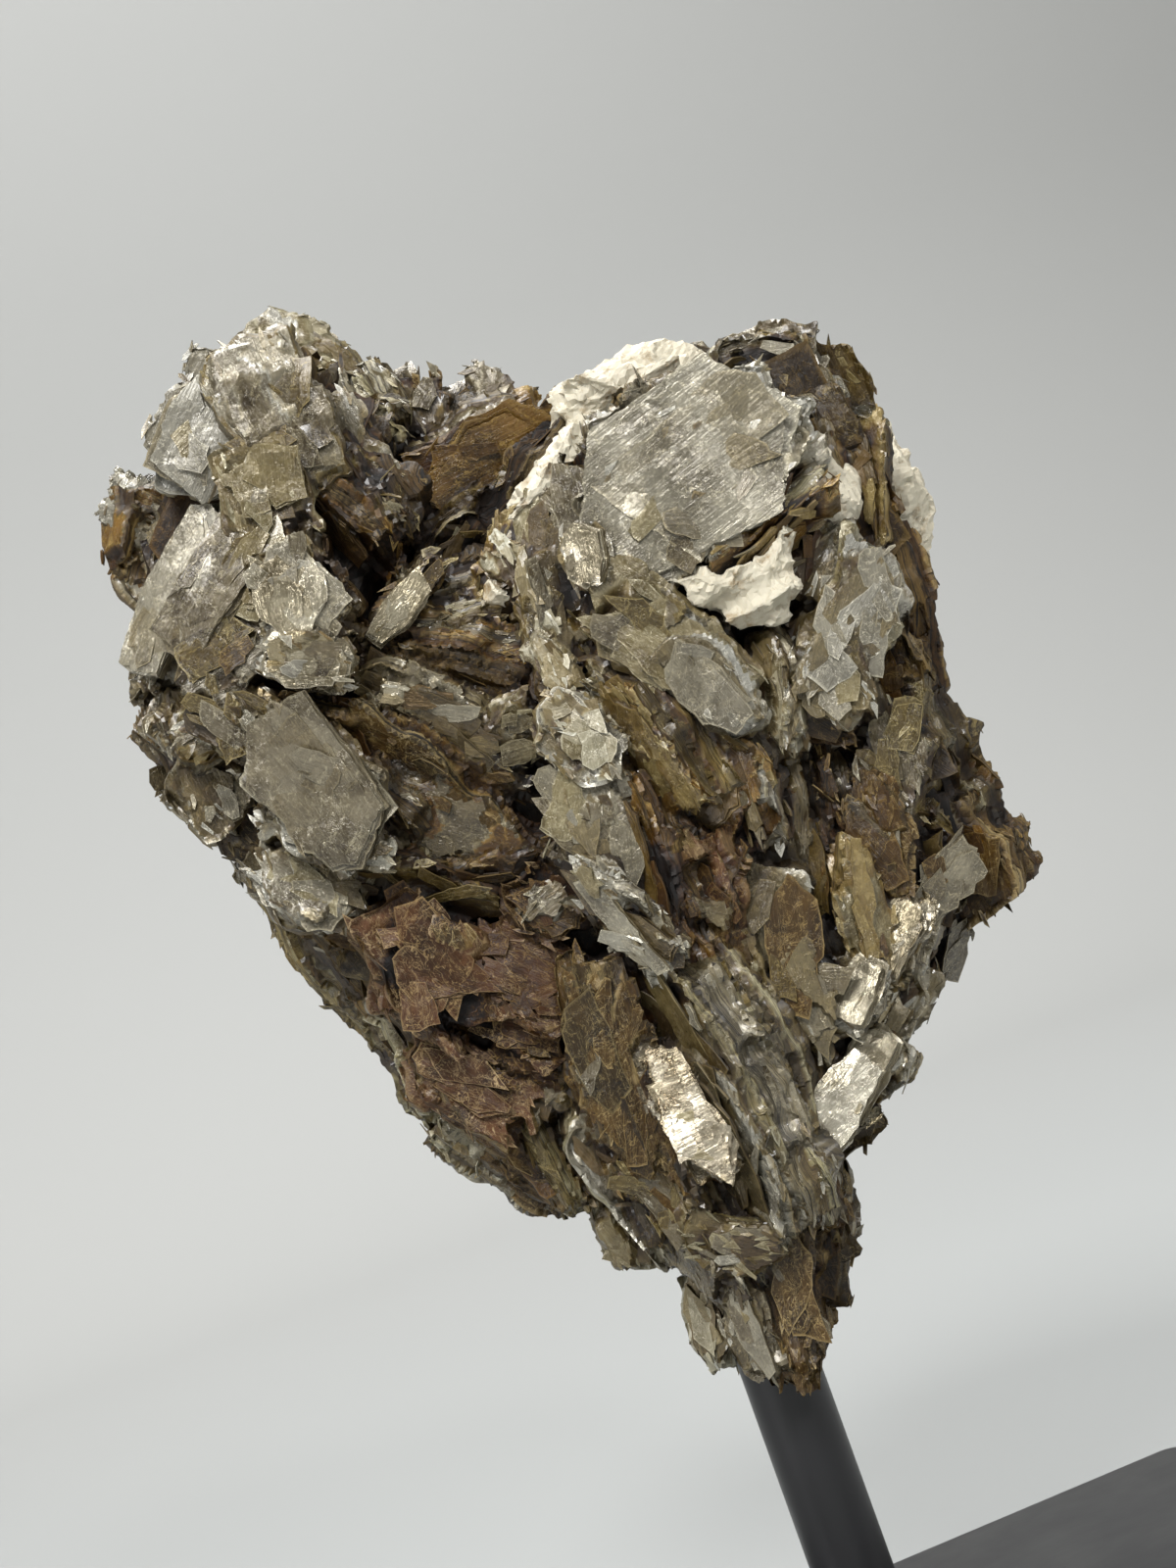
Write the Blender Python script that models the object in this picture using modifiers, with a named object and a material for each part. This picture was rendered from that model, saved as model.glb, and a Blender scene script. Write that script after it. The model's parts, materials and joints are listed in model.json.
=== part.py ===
"""A mica crystal on its display stand: books of muscovite grown together round a lump of white feldspar,
carried by a round steel post on a rectangular base plate.

Metres, +Z up, the front facing -Y. The origin is the middle of the base plate's underside.

A mica book is a stack of cleavage sheets. Each one here is a stepped block: an angular outline, repeated in
a few ledges through the thickness of the stack. The books are laid out on a front elevation in millimetres
(across, up), with the depth behind the stone's middle plane as a third figure. The elevation is drawn in
perspective from an eye EYE_DISTANCE in front of that plane, and stands leaned and turned on the post.
"""

import math
import random
from collections import namedtuple

import bmesh
import bpy
from mathutils import Matrix, Vector

MM = 0.001

# The stand.
BASE_WIDTH, BASE_DEPTH, BASE_THICK = 0.100, 0.080, 0.006
BASE_CORNER_RADIUS, BASE_EDGE_BEVEL = 0.003, 0.0006
POST_RADIUS, POST_TOP, POST_EDGE_BEVEL = 0.004, 0.070, 0.0005
GAP = 0.0003  # left between two pieces that touch
ROUND_SEGMENTS, CORNER_SEGMENTS, BEVEL_SEGMENTS = 40, 5, 2

# The stone on the post.
STONE_MIDDLE_HEIGHT = 0.101
STONE_LEAN = math.radians(19.8)  # the elevation's upright, leaned over in its own plane
STONE_TILT = math.radians(4.5)  # its far side raised: the elevation is seen from a little below
STONE_TURN = math.radians(-11)  # about the post
POST_ACROSS = -1.8 * MM  # where the post's axis crosses the elevation's level line
EYE_DISTANCE = 0.240

# A book's middle on the elevation (across, up, back); its length, width and thickness; the angle that its
# length runs at, from level; and how far its face leans round that length, towards run - 90 degrees.
Book = namedtuple("Book", "name across up back length width thick run lean")

BODY = [
    Book("left_body", -32, 24, 3, 36, 30, 24, 80, -8),
    Book("left_low_body", -28.5, 3, 2, 28, 26, 20, -40, -6),
    Book("valley_body", -13, 20, 7, 34, 32, 18, 30, 8),
    Book("right_body", 16.5, 26, 3, 34, 31, 22, -60, 6),
    Book("middle_body", 4, 4, 0, 44, 38, 22, -40, 0),
    Book("belly_body", 25, 0, 1, 42, 26, 22, -72, 10),
    Book("rose_body", -13, -16, 3, 38, 28, 22, -48, -8),
    Book("lower_body", 12, -24, -2, 40, 28, 22, -62, 0),
    Book("tip_body", 20.5, -42, -6, 22, 13, 14, -75, 0),
]
LEFT_LOBE = [
    Book("crest", -30.5, 42.5, 3, 15, 10, 9, -18, -15),
    Book("round_sheet", -38.5, 35, -8, 18, 13, 8, 66, -28),
    Book("upper_face", -30.5, 35, -11, 22, 15, 12, -62, -8),
    Book("curl", -45, 25.5, -2, 13, 9, 7, 80, -50),
    Book("long_plate_outer", -40.8, 17, -5, 19, 11, 9, 64, -40),
    Book("long_plate_inner", -36, 17.5, -12, 24, 11, 9, 60, -22),
    Book("crinkled_heart", -28.5, 20, -15, 19, 14, 11, -65, 6),
    Book("low_knob", -39.8, 4, -5, 14, 11, 12, -76, -22),
    Book("low_ledge", -34, 6.5, -13, 19, 10, 10, -34, 8),
    Book("pearl_sheet", -26.5, 0.5, -16, 21, 14, 9, -55, -6),
    Book("pearl_skirt", -27, -9, -11, 18, 11, 11, -38, -8),
]
VALLEY = [
    Book("fan_long", -24.5, 32, -6, 24, 14, 6, -50, 66),
    Book("fan_low", -26, 29, -10, 19, 12, 5, -40, 68),
    Book("peak_left", -18.5, 37.5, 5, 14, 11, 9, -72, -10),
    Book("peak_right", -10.5, 38, 6, 14, 9, 9, 32, -10),
    Book("amber_sheet", -10.5, 33, 0, 21, 13, 8, 22, 32),
    Book("slanting_strip", -13, 25, -3, 24, 14, 6, 45, 46),
    Book("brown_shelf", -15, 15, -6, 25, 13, 9, 20, 48),
    Book("lens_low", -19, 4, -12, 27, 14, 8, -25, 52),
    Book("lens_high", -14, 9, -13, 23, 12, 8, -26, 34),
    Book("smooth_brown", -12, -3.5, -11, 20, 13, 10, -16, 14),
]
RIGHT_LOBE = [
    Book("silver_sheet", 12, 31, -15, 25, 20, 6, 28, 0),
    Book("hump", 17.5, 39, -3, 18, 12, 11, 8, -18),
    Book("pale_fan", 26.5, 36, -1, 12, 8, 6, -70, 12),
    Book("dark_stripes", 26.5, 29.5, -7, 20, 13, 6, -76, 72),
    Book("spine", 0.5, 25.5, -13, 19, 10, 7, -86, 38),
    Book("amber_edges", 18.5, 26, -12, 20, 9, 5, 43, 58),
    Book("grey_slope", 9, 15.5, -16, 23, 15, 9, -36, 6),
    Book("right_face", 26.5, 15.5, -14, 21, 14, 9, 70, 14),
    Book("right_edge_high", 30, 16.5, -4, 21, 14, 7, -73, 66),
    Book("right_edge_middle", 33.5, 6, -3, 28, 15, 8, -63, 60),
    Book("right_belly", 37.2, -5.5, -4, 16, 12, 11, -62, 30),
    Book("right_hem", 34.5, -9.5, -10, 17, 11, 9, 58, 12),
]
MIDDLE = [
    Book("gold_fibres", 8, 6, -15, 19, 12, 8, -60, 52),
    Book("amber_window", 14, 0, -14, 17, 13, 9, -80, 28),
    Book("silver_middle", 1, -3, -14, 24, 14, 9, -65, -4),
    Book("folded_strap", 8, -8, -16, 27, 10, 7, -70, 46),
    Book("plum_patches", 14.5, -10, -14, 18, 11, 8, -84, 42),
    Book("right_slab", 20.5, -16.5, -14, 22, 14, 9, -66, 8),
    Book("gold_blade", 27.5, -10.5, -12, 20, 10, 8, -80, 34),
    Book("silver_scale_high", 31, -18.5, -8, 17, 9, 8, 66, 16),
    Book("silver_scale_low", 26.5, -29.5, -12, 15, 9, 8, 66, 8),
]
LOWER_LEFT = [
    Book("rose_sheet", -11, -18, -11, 24, 17, 9, -26, -10),
    Book("rose_skirt", -13, -29.5, -8, 18, 11, 10, -32, -12),
    Book("hem_olive", -24.8, -15, -2, 27, 11, 8, -61, -40),
    Book("hem_grey", -16, -26.5, -1, 25, 12, 9, -58, -36),
    Book("hem_white", -7, -36.5, -4, 26, 10, 10, -34, -30),
]
LOWER_RIGHT = [
    Book("round_book", 3.5, -27, -16, 26, 13, 10, -76, -26),
    Book("white_blade", 4, -40, -13, 18, 7, 6, -57, -12),
    Book("cream_flake", 10, -33, -20, 17, 7, 5, -60, 4),
    Book("fibres_high", 15, -27, -16, 34, 14, 9, -62, 60),
    Book("fibres_low", 12, -42, -13, 24, 11, 9, -68, 56),
    Book("grey_flank", 22.5, -38, -9, 18, 9, 9, -86, 20),
    Book("tip_left", 13, -51.5, -8, 14, 5, 5, -76, 24),
    Book("tip_right", 21, -49.5, -10, 22, 9, 8, -84, 20),
]
BACK = [
    Book("back_left_high", -27, 31, 13, 28, 20, 12, 60, 170),
    Book("back_left_low", -30, 8, 13, 30, 20, 12, -70, 190),
    Book("back_valley", -8, 27, 15, 28, 20, 12, 25, 186),
    Book("back_right_high", 14, 31, 13, 27, 20, 14, -35, 172),
    Book("back_right_low", 25, 8, 13, 32, 18, 12, -68, 164),
    Book("back_middle", 1, 8, 15, 36, 26, 12, -20, 184),
    Book("back_rose", -16, -14, 14, 32, 22, 12, -55, 192),
    Book("back_belly", 16, -12, 13, 32, 22, 14, -70, 176),
    Book("back_hem", -4, -30, 8, 26, 16, 12, -40, 194),
    Book("back_fan", -17, 18, 18, 22, 14, 7, -45, 122),
    Book("back_rib", 5, -10, 17, 28, 14, 7, -62, 126),
    Book("back_blade", 20, 18, 17, 24, 13, 7, 65, 236),
]
BOOKS = BODY + LEFT_LOBE + VALLEY + RIGHT_LOBE + MIDDLE + LOWER_LEFT + LOWER_RIGHT + BACK

# A feldspar lump's middle on the elevation (across, up, back), and its half sizes across, up and back.
Lump = namedtuple("Lump", "name across up back half_across half_up half_back run")
FELDSPAR = [
    Lump("heart", 12, 31, -4, 15, 11, 8, 25),
    Lump("crown", 5.5, 39.5, 0, 9.5, 6, 8, 16),
    Lump("seam", -3.5, 30.5, -7, 10, 3.2, 6, 56),
    Lump("sill", 16, 21.5, -10, 9, 4.5, 6, 15),
    Lump("pillar", 23.5, 29, -7, 7, 5, 8, 70),
    Lump("shoulder", 26, 31, 0, 8, 7, 7, -40),
    Lump("flank", 30.5, 30, 0, 10, 4.5, 7, -70),
]
LUMP_POINTS = 26
CORNERS = 7  # of a book's outline
REACH = (0.86, 1.12)  # of a corner, against the book's half size
LEDGES = 2  # levels in a book's thickness
LEDGE_SHRINK = (0.78, 0.9)  # of a level, against the one below it
LEDGE_SLIP = 0.04  # of the book's size, sideways


def clear_scene():
    for old in list(bpy.data.objects):
        bpy.data.objects.remove(old)


def new_collection(name, drawn=True):
    group = bpy.data.collections.new(name)
    group.hide_render = not drawn
    bpy.context.scene.collection.children.link(group)
    return group


def material(name, colour, roughness, metallic=0.0):
    finish = bpy.data.materials.new(name)
    finish.use_nodes = True
    shader = finish.node_tree.nodes["Principled BSDF"]
    shader.inputs["Base Color"].default_value = (*colour, 1)
    shader.inputs["Roughness"].default_value = roughness
    shader.inputs["Metallic"].default_value = metallic
    return finish


def object_of(bm, name, group, finish=None):
    """A new object from a bmesh, which it frees."""
    bmesh.ops.recalc_face_normals(bm, faces=bm.faces)
    mesh = bpy.data.meshes.new(name)
    bm.to_mesh(mesh)
    bm.free()
    made = bpy.data.objects.new(name, mesh)
    group.objects.link(made)
    if finish:
        mesh.materials.append(finish)
    return made


def bevel(piece, width):
    rounding = piece.modifiers.new("rounding", "BEVEL")
    rounding.width = width
    rounding.segments = BEVEL_SEGMENTS
    rounding.limit_method = "ANGLE"


# --- the elevation -----------------------------------------------------------------------------------


def stand_from_elevation():
    """Leans the elevation upright about the post, turns it, and lifts it to its height."""
    lean, tilt = Matrix.Rotation(STONE_LEAN, 4, "Y"), Matrix.Rotation(STONE_TILT, 4, "X")
    turn, lift = Matrix.Rotation(STONE_TURN, 4, "Z"), Matrix.Translation((0, 0, STONE_MIDDLE_HEIGHT))
    return lift @ turn @ tilt @ lean @ Matrix.Translation((-POST_ACROSS, 0, 0))


def point_on_elevation(across, up, back):
    """Figures in millimetres; a point behind the middle plane is drawn smaller, so it lies further out."""
    spread = (EYE_DISTANCE + back * MM) / EYE_DISTANCE
    return Vector((across * MM * spread, back * MM, up * MM * spread))


def book_matrix(book):
    """The book's own axes: X along its length, Y across, Z out of its face."""
    run = math.radians(book.run)
    along = Vector((math.cos(run), 0, math.sin(run)))
    face = Vector((0, -1, 0))
    face.rotate(Matrix.Rotation(math.radians(book.lean), 3, along))
    across = face.cross(along)
    axes = Matrix((along, across, face)).transposed().to_4x4()
    return Matrix.Translation(point_on_elevation(book.across, book.up, book.back)) @ axes


# --- mica --------------------------------------------------------------------------------------------


def extruded(bm, face, rise, scale=1.0, slip=(0, 0)):
    """Extrudes a level face upwards, or within its own plane, and returns the face that this made."""
    middle = face.calc_center_median()
    shift = Vector((*slip, rise))
    grown = bmesh.ops.extrude_face_region(bm, geom=[face, *face.edges])["geom"]
    for vert in (v for v in grown if isinstance(v, bmesh.types.BMVert)):
        vert.co = middle + (vert.co - middle) * scale + shift
    return next(f for f in grown if isinstance(f, bmesh.types.BMFace))


def book_solid(book):
    """A block with an angular outline, as cleaved sheets break, and a ledge or two on its face."""
    chance = random.Random(book.name)
    length, width, thick = (size * MM for size in (book.length, book.width, book.thick))
    bm = bmesh.new()
    outline = bmesh.ops.create_circle(bm, cap_ends=True, radius=0.5, segments=CORNERS)["verts"]
    for corner in outline:
        corner.co *= chance.uniform(*REACH)
        corner.co = Vector((corner.co.x * length, corner.co.y * width, -thick / 2))
    bm.faces.ensure_lookup_table()
    ledges = 1 if book in BODY + BACK else LEDGES
    face = extruded(bm, bm.faces[0], thick / ledges)
    for _ in range(ledges - 1):
        slip = (chance.uniform(-1, 1) * LEDGE_SLIP * length, chance.uniform(-1, 1) * LEDGE_SLIP * width)
        face = extruded(bm, face, 0, chance.uniform(*LEDGE_SHRINK), slip)
        face = extruded(bm, face, thick / ledges)
    return bm


def place_books(group, frame):
    placed = []
    for book in BOOKS:
        bm = book_solid(book)
        bm.transform(frame @ book_matrix(book))
        bmesh.ops.triangulate(bm, faces=bm.faces)
        placed.append(object_of(bm, book.name, group))
    return placed


# --- feldspar ----------------------------------------------------------------------------------------


def lump_solid(lump, grow=0.0):
    """A blocky pebble: the hull of points scattered on a flattened ball."""
    chance = random.Random(lump.name)
    half = (lump.half_across * MM + grow, lump.half_back * MM + grow, lump.half_up * MM + grow)
    bm = bmesh.new()
    for _ in range(LUMP_POINTS):
        way = Vector((chance.gauss(0, 1), chance.gauss(0, 1), chance.gauss(0, 1))).normalized()
        bm.verts.new([w * h for w, h in zip(way, half)])
    hull = bmesh.ops.convex_hull(bm, input=bm.verts)
    inside = {v for v in hull["geom_interior"] + hull["geom_unused"] if isinstance(v, bmesh.types.BMVert)}
    bmesh.ops.delete(bm, geom=list(inside), context="VERTS")
    run = Matrix.Rotation(-math.radians(lump.run), 4, "Y")
    bm.transform(Matrix.Translation(point_on_elevation(lump.across, lump.up, lump.back)) @ run)
    return bm


def place_lumps(group, frame, grow=0.0):
    placed = []
    for lump in FELDSPAR:
        bm = lump_solid(lump, grow)
        bm.transform(frame)
        placed.append(object_of(bm, f"{lump.name}_lump", group))
    return placed


# --- joining and cutting -----------------------------------------------------------------------------


def boolean(piece, operation, **operand):
    """The solver is MANIFOLD, because EXACT leaves open edges among this many crossing pieces."""
    change = piece.modifiers.new(operation.lower(), "BOOLEAN")
    change.operation = operation
    change.solver = "MANIFOLD"
    for setting, value in operand.items():
        setattr(change, setting, value)


def one_body(piece):
    """Applies the modifiers, and drops what is loose: chips that a cut left, and closed hollows inside."""
    bpy.context.view_layer.update()
    evaluated = piece.evaluated_get(bpy.context.evaluated_depsgraph_get())
    mesh = bpy.data.meshes.new_from_object(evaluated)
    piece.modifiers.clear()
    piece.data = mesh
    bm = bmesh.new()
    bm.from_mesh(mesh)
    bodies, unseen = [], set(bm.verts)
    while unseen:
        body, reached = [], [unseen.pop()]
        while reached:
            vert = reached.pop()
            body.append(vert)
            near = {edge.other_vert(vert) for edge in vert.link_edges} & unseen
            unseen -= near
            reached.extend(near)
        bodies.append(body)
    for loose in sorted(bodies, key=len)[:-1]:
        bmesh.ops.delete(bm, geom=loose, context="VERTS")
    bm.to_mesh(mesh)
    bm.free()


def joined(pieces, name, finish=None):
    """One body from pieces that overlap, by a Boolean union. The other pieces are removed."""
    first, *others = pieces
    rest = new_collection(f"{name}_rest", drawn=False)
    for piece in others:
        rest.objects.link(piece)
    boolean(first, "UNION", operand_type="COLLECTION", collection=rest)
    one_body(first)
    for piece in others:
        bpy.data.objects.remove(piece)
    bpy.data.collections.remove(rest)
    first.name = first.data.name = name
    first.data.materials.clear()
    if finish:
        first.data.materials.append(finish)
    return first


def as_cutter(piece):
    piece.hide_render = True
    piece.display_type = "WIRE"
    return piece


# --- the stand ---------------------------------------------------------------------------------------


def base_plate(group, finish):
    bm = bmesh.new()
    bmesh.ops.create_cube(bm, size=1)
    size = Matrix.Diagonal((BASE_WIDTH, BASE_DEPTH, BASE_THICK, 1))
    bm.transform(Matrix.Translation((0, 0, BASE_THICK / 2)) @ size)
    upright = [e for e in bm.edges if abs(e.verts[0].co.z - e.verts[1].co.z) > BASE_THICK / 2]
    bmesh.ops.bevel(
        bm,
        geom=upright,
        offset=BASE_CORNER_RADIUS,
        segments=CORNER_SEGMENTS,
        affect="EDGES",
        profile=0.5,
    )
    plate = object_of(bm, "base_plate", group, finish)
    bevel(plate, BASE_EDGE_BEVEL)
    return plate


def cylinder(name, radius, bottom, top, group, finish=None):
    bm = bmesh.new()
    bmesh.ops.create_cone(
        bm,
        cap_ends=True,
        segments=ROUND_SEGMENTS,
        radius1=radius,
        radius2=radius,
        depth=top - bottom,
    )
    bm.transform(Matrix.Translation((0, 0, (top + bottom) / 2)))
    return object_of(bm, name, group, finish)


def main():
    clear_scene()
    model = new_collection("mica_crystal")
    cutters = new_collection("cutters", drawn=False)
    steel = material("black_painted_steel", (0.016, 0.016, 0.017), 0.42)
    mica = material("muscovite_mica", (0.27, 0.235, 0.18), 0.3)
    feldspar = material("white_feldspar", (0.78, 0.76, 0.66), 0.6)
    frame = stand_from_elevation()

    base_plate(model, steel)
    post = cylinder("post", POST_RADIUS, BASE_THICK + GAP, POST_TOP, model, steel)
    bevel(post, POST_EDGE_BEVEL)

    pocket = as_cutter(joined(place_lumps(cutters, frame, grow=GAP), "feldspar_pocket"))
    bore = as_cutter(cylinder("post_bore", POST_RADIUS + GAP, BASE_THICK, POST_TOP + GAP, cutters))
    joined(place_lumps(model, frame), "feldspar_matrix", feldspar)
    cluster = joined(place_books(model, frame), "mica_cluster", mica)
    boolean(cluster, "DIFFERENCE", object=pocket)
    boolean(cluster, "DIFFERENCE", object=bore)
    one_body(cluster)


main()
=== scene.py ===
"""The looks of a mica crystal on its stand: books of muscovite round white feldspar, on a black steel post.

The stone is laid out on a front elevation in millimetres, (across, up) with the depth behind the stone's
middle plane, and an ElevationFrame leans it, turns it and lifts it on the post. A book is a stack of
cleavage sheets: SheetStack builds it sheet by sheet, each broken back a little from the one under it.
"""

from __future__ import annotations

import itertools
import json
import logging
import zlib
from dataclasses import dataclass, field, replace
from enum import Enum
from functools import partial
from math import cos, pi, radians, sin
from typing import Any, Iterable, Optional

import bmesh
import bpy
import numpy as np
from bpy.types import ID, Collection, Material, Mesh, NodeSocket, NodeTree, Object
from mathutils import Matrix, Vector, kdtree, noise
from mathutils.bvhtree import BVHTree

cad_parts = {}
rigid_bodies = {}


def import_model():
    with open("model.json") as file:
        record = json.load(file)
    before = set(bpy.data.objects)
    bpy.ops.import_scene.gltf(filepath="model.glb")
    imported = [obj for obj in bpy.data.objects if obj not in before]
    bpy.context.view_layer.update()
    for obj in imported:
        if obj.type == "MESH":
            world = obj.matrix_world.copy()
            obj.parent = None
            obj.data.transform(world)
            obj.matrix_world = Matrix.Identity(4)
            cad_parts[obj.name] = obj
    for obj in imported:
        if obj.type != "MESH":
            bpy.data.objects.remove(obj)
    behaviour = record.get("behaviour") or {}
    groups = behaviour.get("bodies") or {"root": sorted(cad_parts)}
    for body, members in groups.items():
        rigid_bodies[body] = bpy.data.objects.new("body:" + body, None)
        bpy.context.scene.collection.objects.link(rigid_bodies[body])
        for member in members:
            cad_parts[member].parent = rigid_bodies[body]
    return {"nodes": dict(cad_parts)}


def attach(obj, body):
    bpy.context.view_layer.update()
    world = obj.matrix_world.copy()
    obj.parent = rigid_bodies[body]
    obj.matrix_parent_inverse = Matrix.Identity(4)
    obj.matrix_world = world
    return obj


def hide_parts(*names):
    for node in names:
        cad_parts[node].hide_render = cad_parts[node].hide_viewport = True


MM = 0.001
LOG = logging.getLogger("mica_crystal")
Chance = np.random.Generator


# --- small tools -------------------------------------------------------------------------------------


def linear(hex_colour: str) -> tuple[float, float, float, float]:
    """Turn an sRGB hex colour into linear RGBA.

    Args:
        hex_colour: six hex digits, such as "a49c8b".

    Returns:
        The colour in Blender's linear values, with an alpha of 1.
    """
    parts = [int(hex_colour[i : i + 2], 16) / 255 for i in (0, 2, 4)]
    return (*[c / 12.92 if c <= 0.04045 else ((c + 0.055) / 1.055) ** 2.4 for c in parts], 1.0)


def add_node(
    tree: NodeTree, kind: str, inputs: Optional[dict[Any, Any]] = None, out: Any = 0, **settings: Any
) -> Any:
    """Add one node to a tree.

    Args:
        tree: the node tree.
        kind: the node's type name.
        inputs: a value or a socket to link, for each input by name or number.
        out: the output that is wanted, by name or number, or None for the whole node.
        settings: the node's own properties.

    Returns:
        That output's socket, or the node.
    """
    node = tree.nodes.new(kind)
    for name, value in settings.items():
        setattr(node, name, value)
    for key, value in (inputs or {}).items():
        if isinstance(value, NodeSocket):
            tree.links.new(value, node.inputs[key])
        else:
            node.inputs[key].default_value = value
    return node if out is None else node.outputs[out]


def new_material(name: str) -> tuple[Material, NodeTree]:
    """Make an empty node material.

    Args:
        name: the material's name.

    Returns:
        The material and its tree, with no nodes in it.
    """
    material = bpy.data.materials.new(name)
    material.use_nodes = True
    material.node_tree.nodes.clear()
    return material, material.node_tree


def link_object(name: str, data: ID) -> Object:
    """Put a mesh, a light or a camera in the scene as an object at the origin.

    Args:
        name: the object's name.
        data: what it shows.

    Returns:
        The object.
    """
    made = bpy.data.objects.new(name, data)
    bpy.context.scene.collection.objects.link(made)
    return made


def read(items: Any, name: str, width: int = 1, kind: type = np.float32) -> np.ndarray:
    """Read one value of every vertex, corner or face of a mesh.

    Args:
        items: the mesh's vertices, loops or polygons.
        name: of the value.
        width: how many numbers it has.
        kind: of number.

    Returns:
        The values, with a row for each item when it has several numbers.
    """
    values = np.empty(len(items) * width, kind)
    items.foreach_get(name, values)
    return values.reshape(-1, width) if width > 1 else values


def store(mesh: Mesh, domain: str, **layers: Any) -> None:
    """Store attributes on a mesh.

    Args:
        mesh: the mesh.
        domain: what they belong to, POINT or FACE.
        layers: the values of each, by name; rows of three are kept as vectors.
    """
    for name, given in layers.items():
        values = np.array(given, np.float32)
        kind, item = ("FLOAT_VECTOR", "vector") if values.ndim == 2 else ("FLOAT", "value")
        mesh.attributes.new(name, kind, domain).data.foreach_set(item, values.ravel())


def voxel_skin(mesh: Mesh, cell: float, name: str) -> Mesh:
    """Merge a mesh's closed shells into one skin of even cells.

    Args:
        mesh: the shells, which are used up.
        cell: the size of a cell, in millimetres.
        name: the skin's name.

    Returns:
        The skin, with no materials.
    """
    draft = link_object("draft", mesh)
    cells = draft.modifiers.new("cells", "REMESH")
    cells.mode, cells.voxel_size = "VOXEL", cell * MM
    graph = bpy.context.evaluated_depsgraph_get()
    skin = bpy.data.meshes.new_from_object(draft.evaluated_get(graph))
    bpy.data.objects.remove(draft)
    bpy.data.meshes.remove(mesh)
    skin.name = name
    skin.materials.clear()
    return skin


def value_noise(points: np.ndarray, size: float, seed: int) -> np.ndarray:
    """Give smooth random values, the same each run.

    Args:
        points: the places, one a row.
        size: of a lump of the noise, in the points' own unit.
        seed: which noise.

    Returns:
        A value from -1 to 1 for each point.
    """
    low = np.floor(points / size).astype(np.int64)
    part = points / size - low
    part = part * part * (3 - 2 * part)
    total = np.zeros(len(points))
    for corner in itertools.product((0, 1), repeat=3):
        key = (low + corner).astype(np.uint64)
        mixed = key[:, 0] * np.uint64(73856093) ^ key[:, 1] * np.uint64(19349663)
        mixed = mixed ^ key[:, 2] * np.uint64(83492791) ^ np.uint64(seed * 2654435761)
        mixed = (mixed ^ (mixed >> np.uint64(13))) * np.uint64(1274126177)
        mixed = mixed ^ (mixed >> np.uint64(16))
        value = (mixed & np.uint64(0xFFFF)).astype(float) / 32768 - 1
        total += value * np.prod(np.where(corner, part, 1 - part), axis=1)
    return total


# --- finishes ----------------------------------------------------------------------------------------


@dataclass(frozen=True)
class MicaFinish:
    """Muscovite as it splits: glassy flat faces with a pearly sheen, and rims that show every sheet.

    Attributes:
        face_light: the clean face, as sRGB hex.
        face_dark: where more sheets lie under it.
        line: the fine cracks and folds in the face, lit by the air under them.
        rim_light: the sheets' bright edges.
        rim_dark: the gaps and stained sheets between them.
        metallic: how mirror-like the face is; the sheen of many thin sheets acts like a metal's.
        roughness: of the face.
        cracks: how strongly the lines show.
        clear: how much light passes through a sheet that lies over air.
        coat: how glassy the outermost sheet is.
        gloss: how much of the light the face turns back before it goes in.
    """

    face_light: str
    face_dark: str
    line: str
    rim_light: str
    rim_dark: str
    metallic: float
    roughness: float
    cracks: float
    clear: float = 0.0
    coat: float = 0.22
    gloss: float = 0.5


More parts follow.
